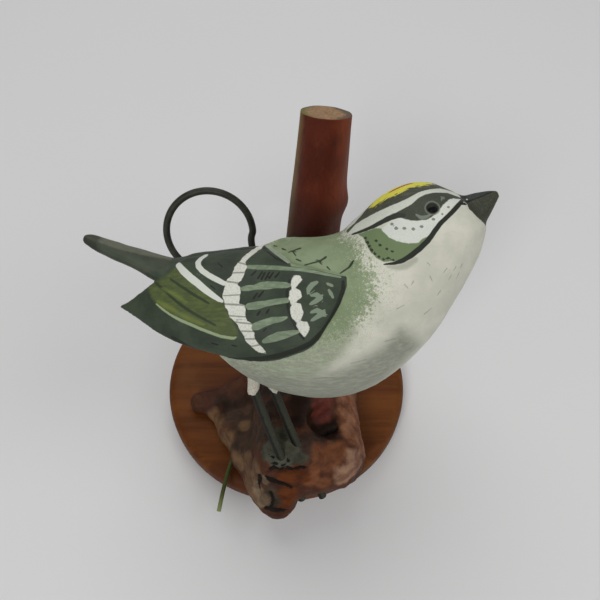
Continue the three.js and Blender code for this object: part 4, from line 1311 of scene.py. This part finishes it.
def ring_finish():
    f = Finish("ring_paint")
    place = f.millimetres()
    cloud = f.noise(place, 2.5, 4, 0.6)
    scratches = f.noise(place, 0.4, 3, 0.6)
    colour = f.mix(cloud.step(0.35, 0.65), shade("#1d1d15"), shade("#313126"))
    way = f.kept("along") + (cloud - 0.5) * 0.01
    colour = f.mix(way.step(0.966, 0.974), colour, shade("#0d0d0b"))
    colour = f.mix(f.kept("along").step(0.9985, 0.9995), colour, shade("#8d8a7e"))
    relief = f.bump(scratches, 0.06, 0.5)
    return f.close(Base_Color=colour, Roughness=0.42 + cloud * 0.2, Specular_IOR_Level=0.4, Normal=relief)


def stem_finish():
    f = Finish("stem_paint")
    place = f.millimetres()
    cloud = f.noise(place, 2.5, 4, 0.6)
    way = f.kept("along") + (cloud - 0.5) * 0.2
    colour = f.mix(way.step(0.1, 0.4), shade("#25280f"), shade("#3c4416"))
    colour = f.mix(way.step(0.7, 1), colour, shade("#7b8450"))
    return f.close(Base_Color=colour, Roughness=0.5 + cloud * 0.2, Specular_IOR_Level=0.3,
                   Normal=f.bump(cloud, 0.1, 0.5))


def eye_finish():
    f = Finish("eye_bead")
    place = f.millimetres()
    cloud = f.noise(place, 1.5, 3, 0.5)
    out = f.kept("from_middle") + (cloud - 0.5) * 0.1
    colour = f.mix(out.step(1.06, 1.2), shade("#050505"), shade("#2a2b25"))
    return f.close(Base_Color=colour, Roughness=0.45 + cloud * 0.1, Specular_IOR_Level=0.12)


def eye_mesh(side):
    made = bmesh.new()
    bmesh.ops.create_uvsphere(made, u_segments=40, v_segments=24, radius=EYE_RADIUS * MM)
    centre = in_world_frame([EYE[0], side * EYE[1], EYE[2]])
    bmesh.ops.translate(made, verts=made.verts, vec=(centre * MM).tolist())
    mesh = bpy.data.meshes.new("bead_eye")
    made.to_mesh(mesh)
    made.free()
    mesh.shade_smooth()
    beside = in_bird_frame(points_of(mesh)) - np.array([EYE[0], side * EYE[1], EYE[2]])
    store(mesh, "from_middle", np.hypot(beside[:, 0], beside[:, 2]))
    return mesh


def ring_path():
    path = list(RING_ROOT)
    first, last, step = RING_TURNS
    for degrees in np.arange(first, last + 0.1, step):
        angle = math.radians(degrees)
        path.append(RING_CENTRE + RING_RADIUS * (math.cos(angle) * RING_ACROSS + math.sin(angle) * RING_UP))
    return path


bird = new_object("carved_bird", bird_mesh())
dress(bird, bird_finish(), "painted_wood", "bird")

burl = new_object("root_burl", burl_mesh())
dress(burl, burl_finish(), "burl_wood", "burl_and_stick")
stick = new_object("upright_stick", stick_mesh())
dress(stick, bark_finish(), "burl_wood", "burl_and_stick")

base = new_object("turned_base", base_mesh())
dress(base, base_finish(), "base_wood", "base_disc")

leg_look = leg_finish()
for name, leg in (("right_leg", RIGHT_LEG), ("left_leg", LEFT_LEG)):
    made = new_object(name + "_wire", wire_mesh(name + "_wire", leg, WIRE_RADIUS, 60, 24))
    dress(made, leg_look, "leg_wire", name)

ring = new_object("bent_ring", wire_mesh("bent_ring", ring_path(), RING_WIRE_RADIUS, 200, 24))
dress(ring, ring_finish(), "ring_wire", "wire_ring")

stem = new_object("leaf_stem", wire_mesh("leaf_stem", STEM, STEM_RADIUS, 40, 16))
dress(stem, stem_finish(), "stem_green", "green_stem")

eye_look = eye_finish()
for name, side in (("right_eye", -1), ("left_eye", 1)):
    made = new_object(name + "_bead", eye_mesh(side))
    dress(made, eye_look, "eye_glass", name)


# Floor, lights and camera

def floor_finish():
    f = Finish("pale_floor")
    place = f.millimetres()
    cloud = f.noise(place, 180, 2, 0.5)
    return f.close(Base_Color=f.mix(cloud, shade("#d9d9d9"), shade("#dcdcdc")), Roughness=0.9)


def light(name, place, aim, size, watts, tint=(1, 1, 1)):
    lamp = bpy.data.lights.new(name, "AREA")
    lamp.shape = "DISK"
    lamp.size = size
    lamp.energy = watts
    lamp.color = tint
    made = new_object(name, lamp)
    made.location = place
    made.rotation_euler = (Vector(aim) - Vector(place)).to_track_quat("-Z", "Y").to_euler()


floor_size = 3.0
floor = new_object("floor", new_mesh("floor", np.array([
    [-1, -1, 0], [1, -1, 0], [1, 1, 0], [-1, 1, 0]]) * floor_size / 2 / MM, [[0, 1, 2, 3]]))
floor.data.materials.append(floor_finish())

subject = (0, 0, 0.04)
light("key", (-0.25, -0.62, 0.6), subject, 0.3, 2.6)
light("fill", (0.6, -0.2, 0.6), subject, 0.5, 1.4)
light("top", (-0.1, 0.5, 0.9), subject, 0.9, 4)

world = bpy.data.worlds.new("studio")
world.use_nodes = True
world.node_tree.nodes["Background"].inputs["Color"].default_value = (1, 1, 1, 1)
world.node_tree.nodes["Background"].inputs["Strength"].default_value = 0.24
bpy.context.scene.world = world
bpy.context.scene.view_settings.view_transform = "Standard"

CAMERA_PLACE = (4.42, -92.2, 188.8)
CAMERA_DOWN = 55.8  # degrees below level
CAMERA_LENS = 37.2  # for a sensor 36 wide
lens = bpy.data.cameras.new("camera")
lens.lens = CAMERA_LENS
lens.sensor_width = 36
lens.clip_start = 0.01
camera = new_object("camera", lens)
camera.location = [v * MM for v in CAMERA_PLACE]
camera.rotation_euler = (math.radians(90 - CAMERA_DOWN), 0, 0)
bpy.context.scene.camera = camera
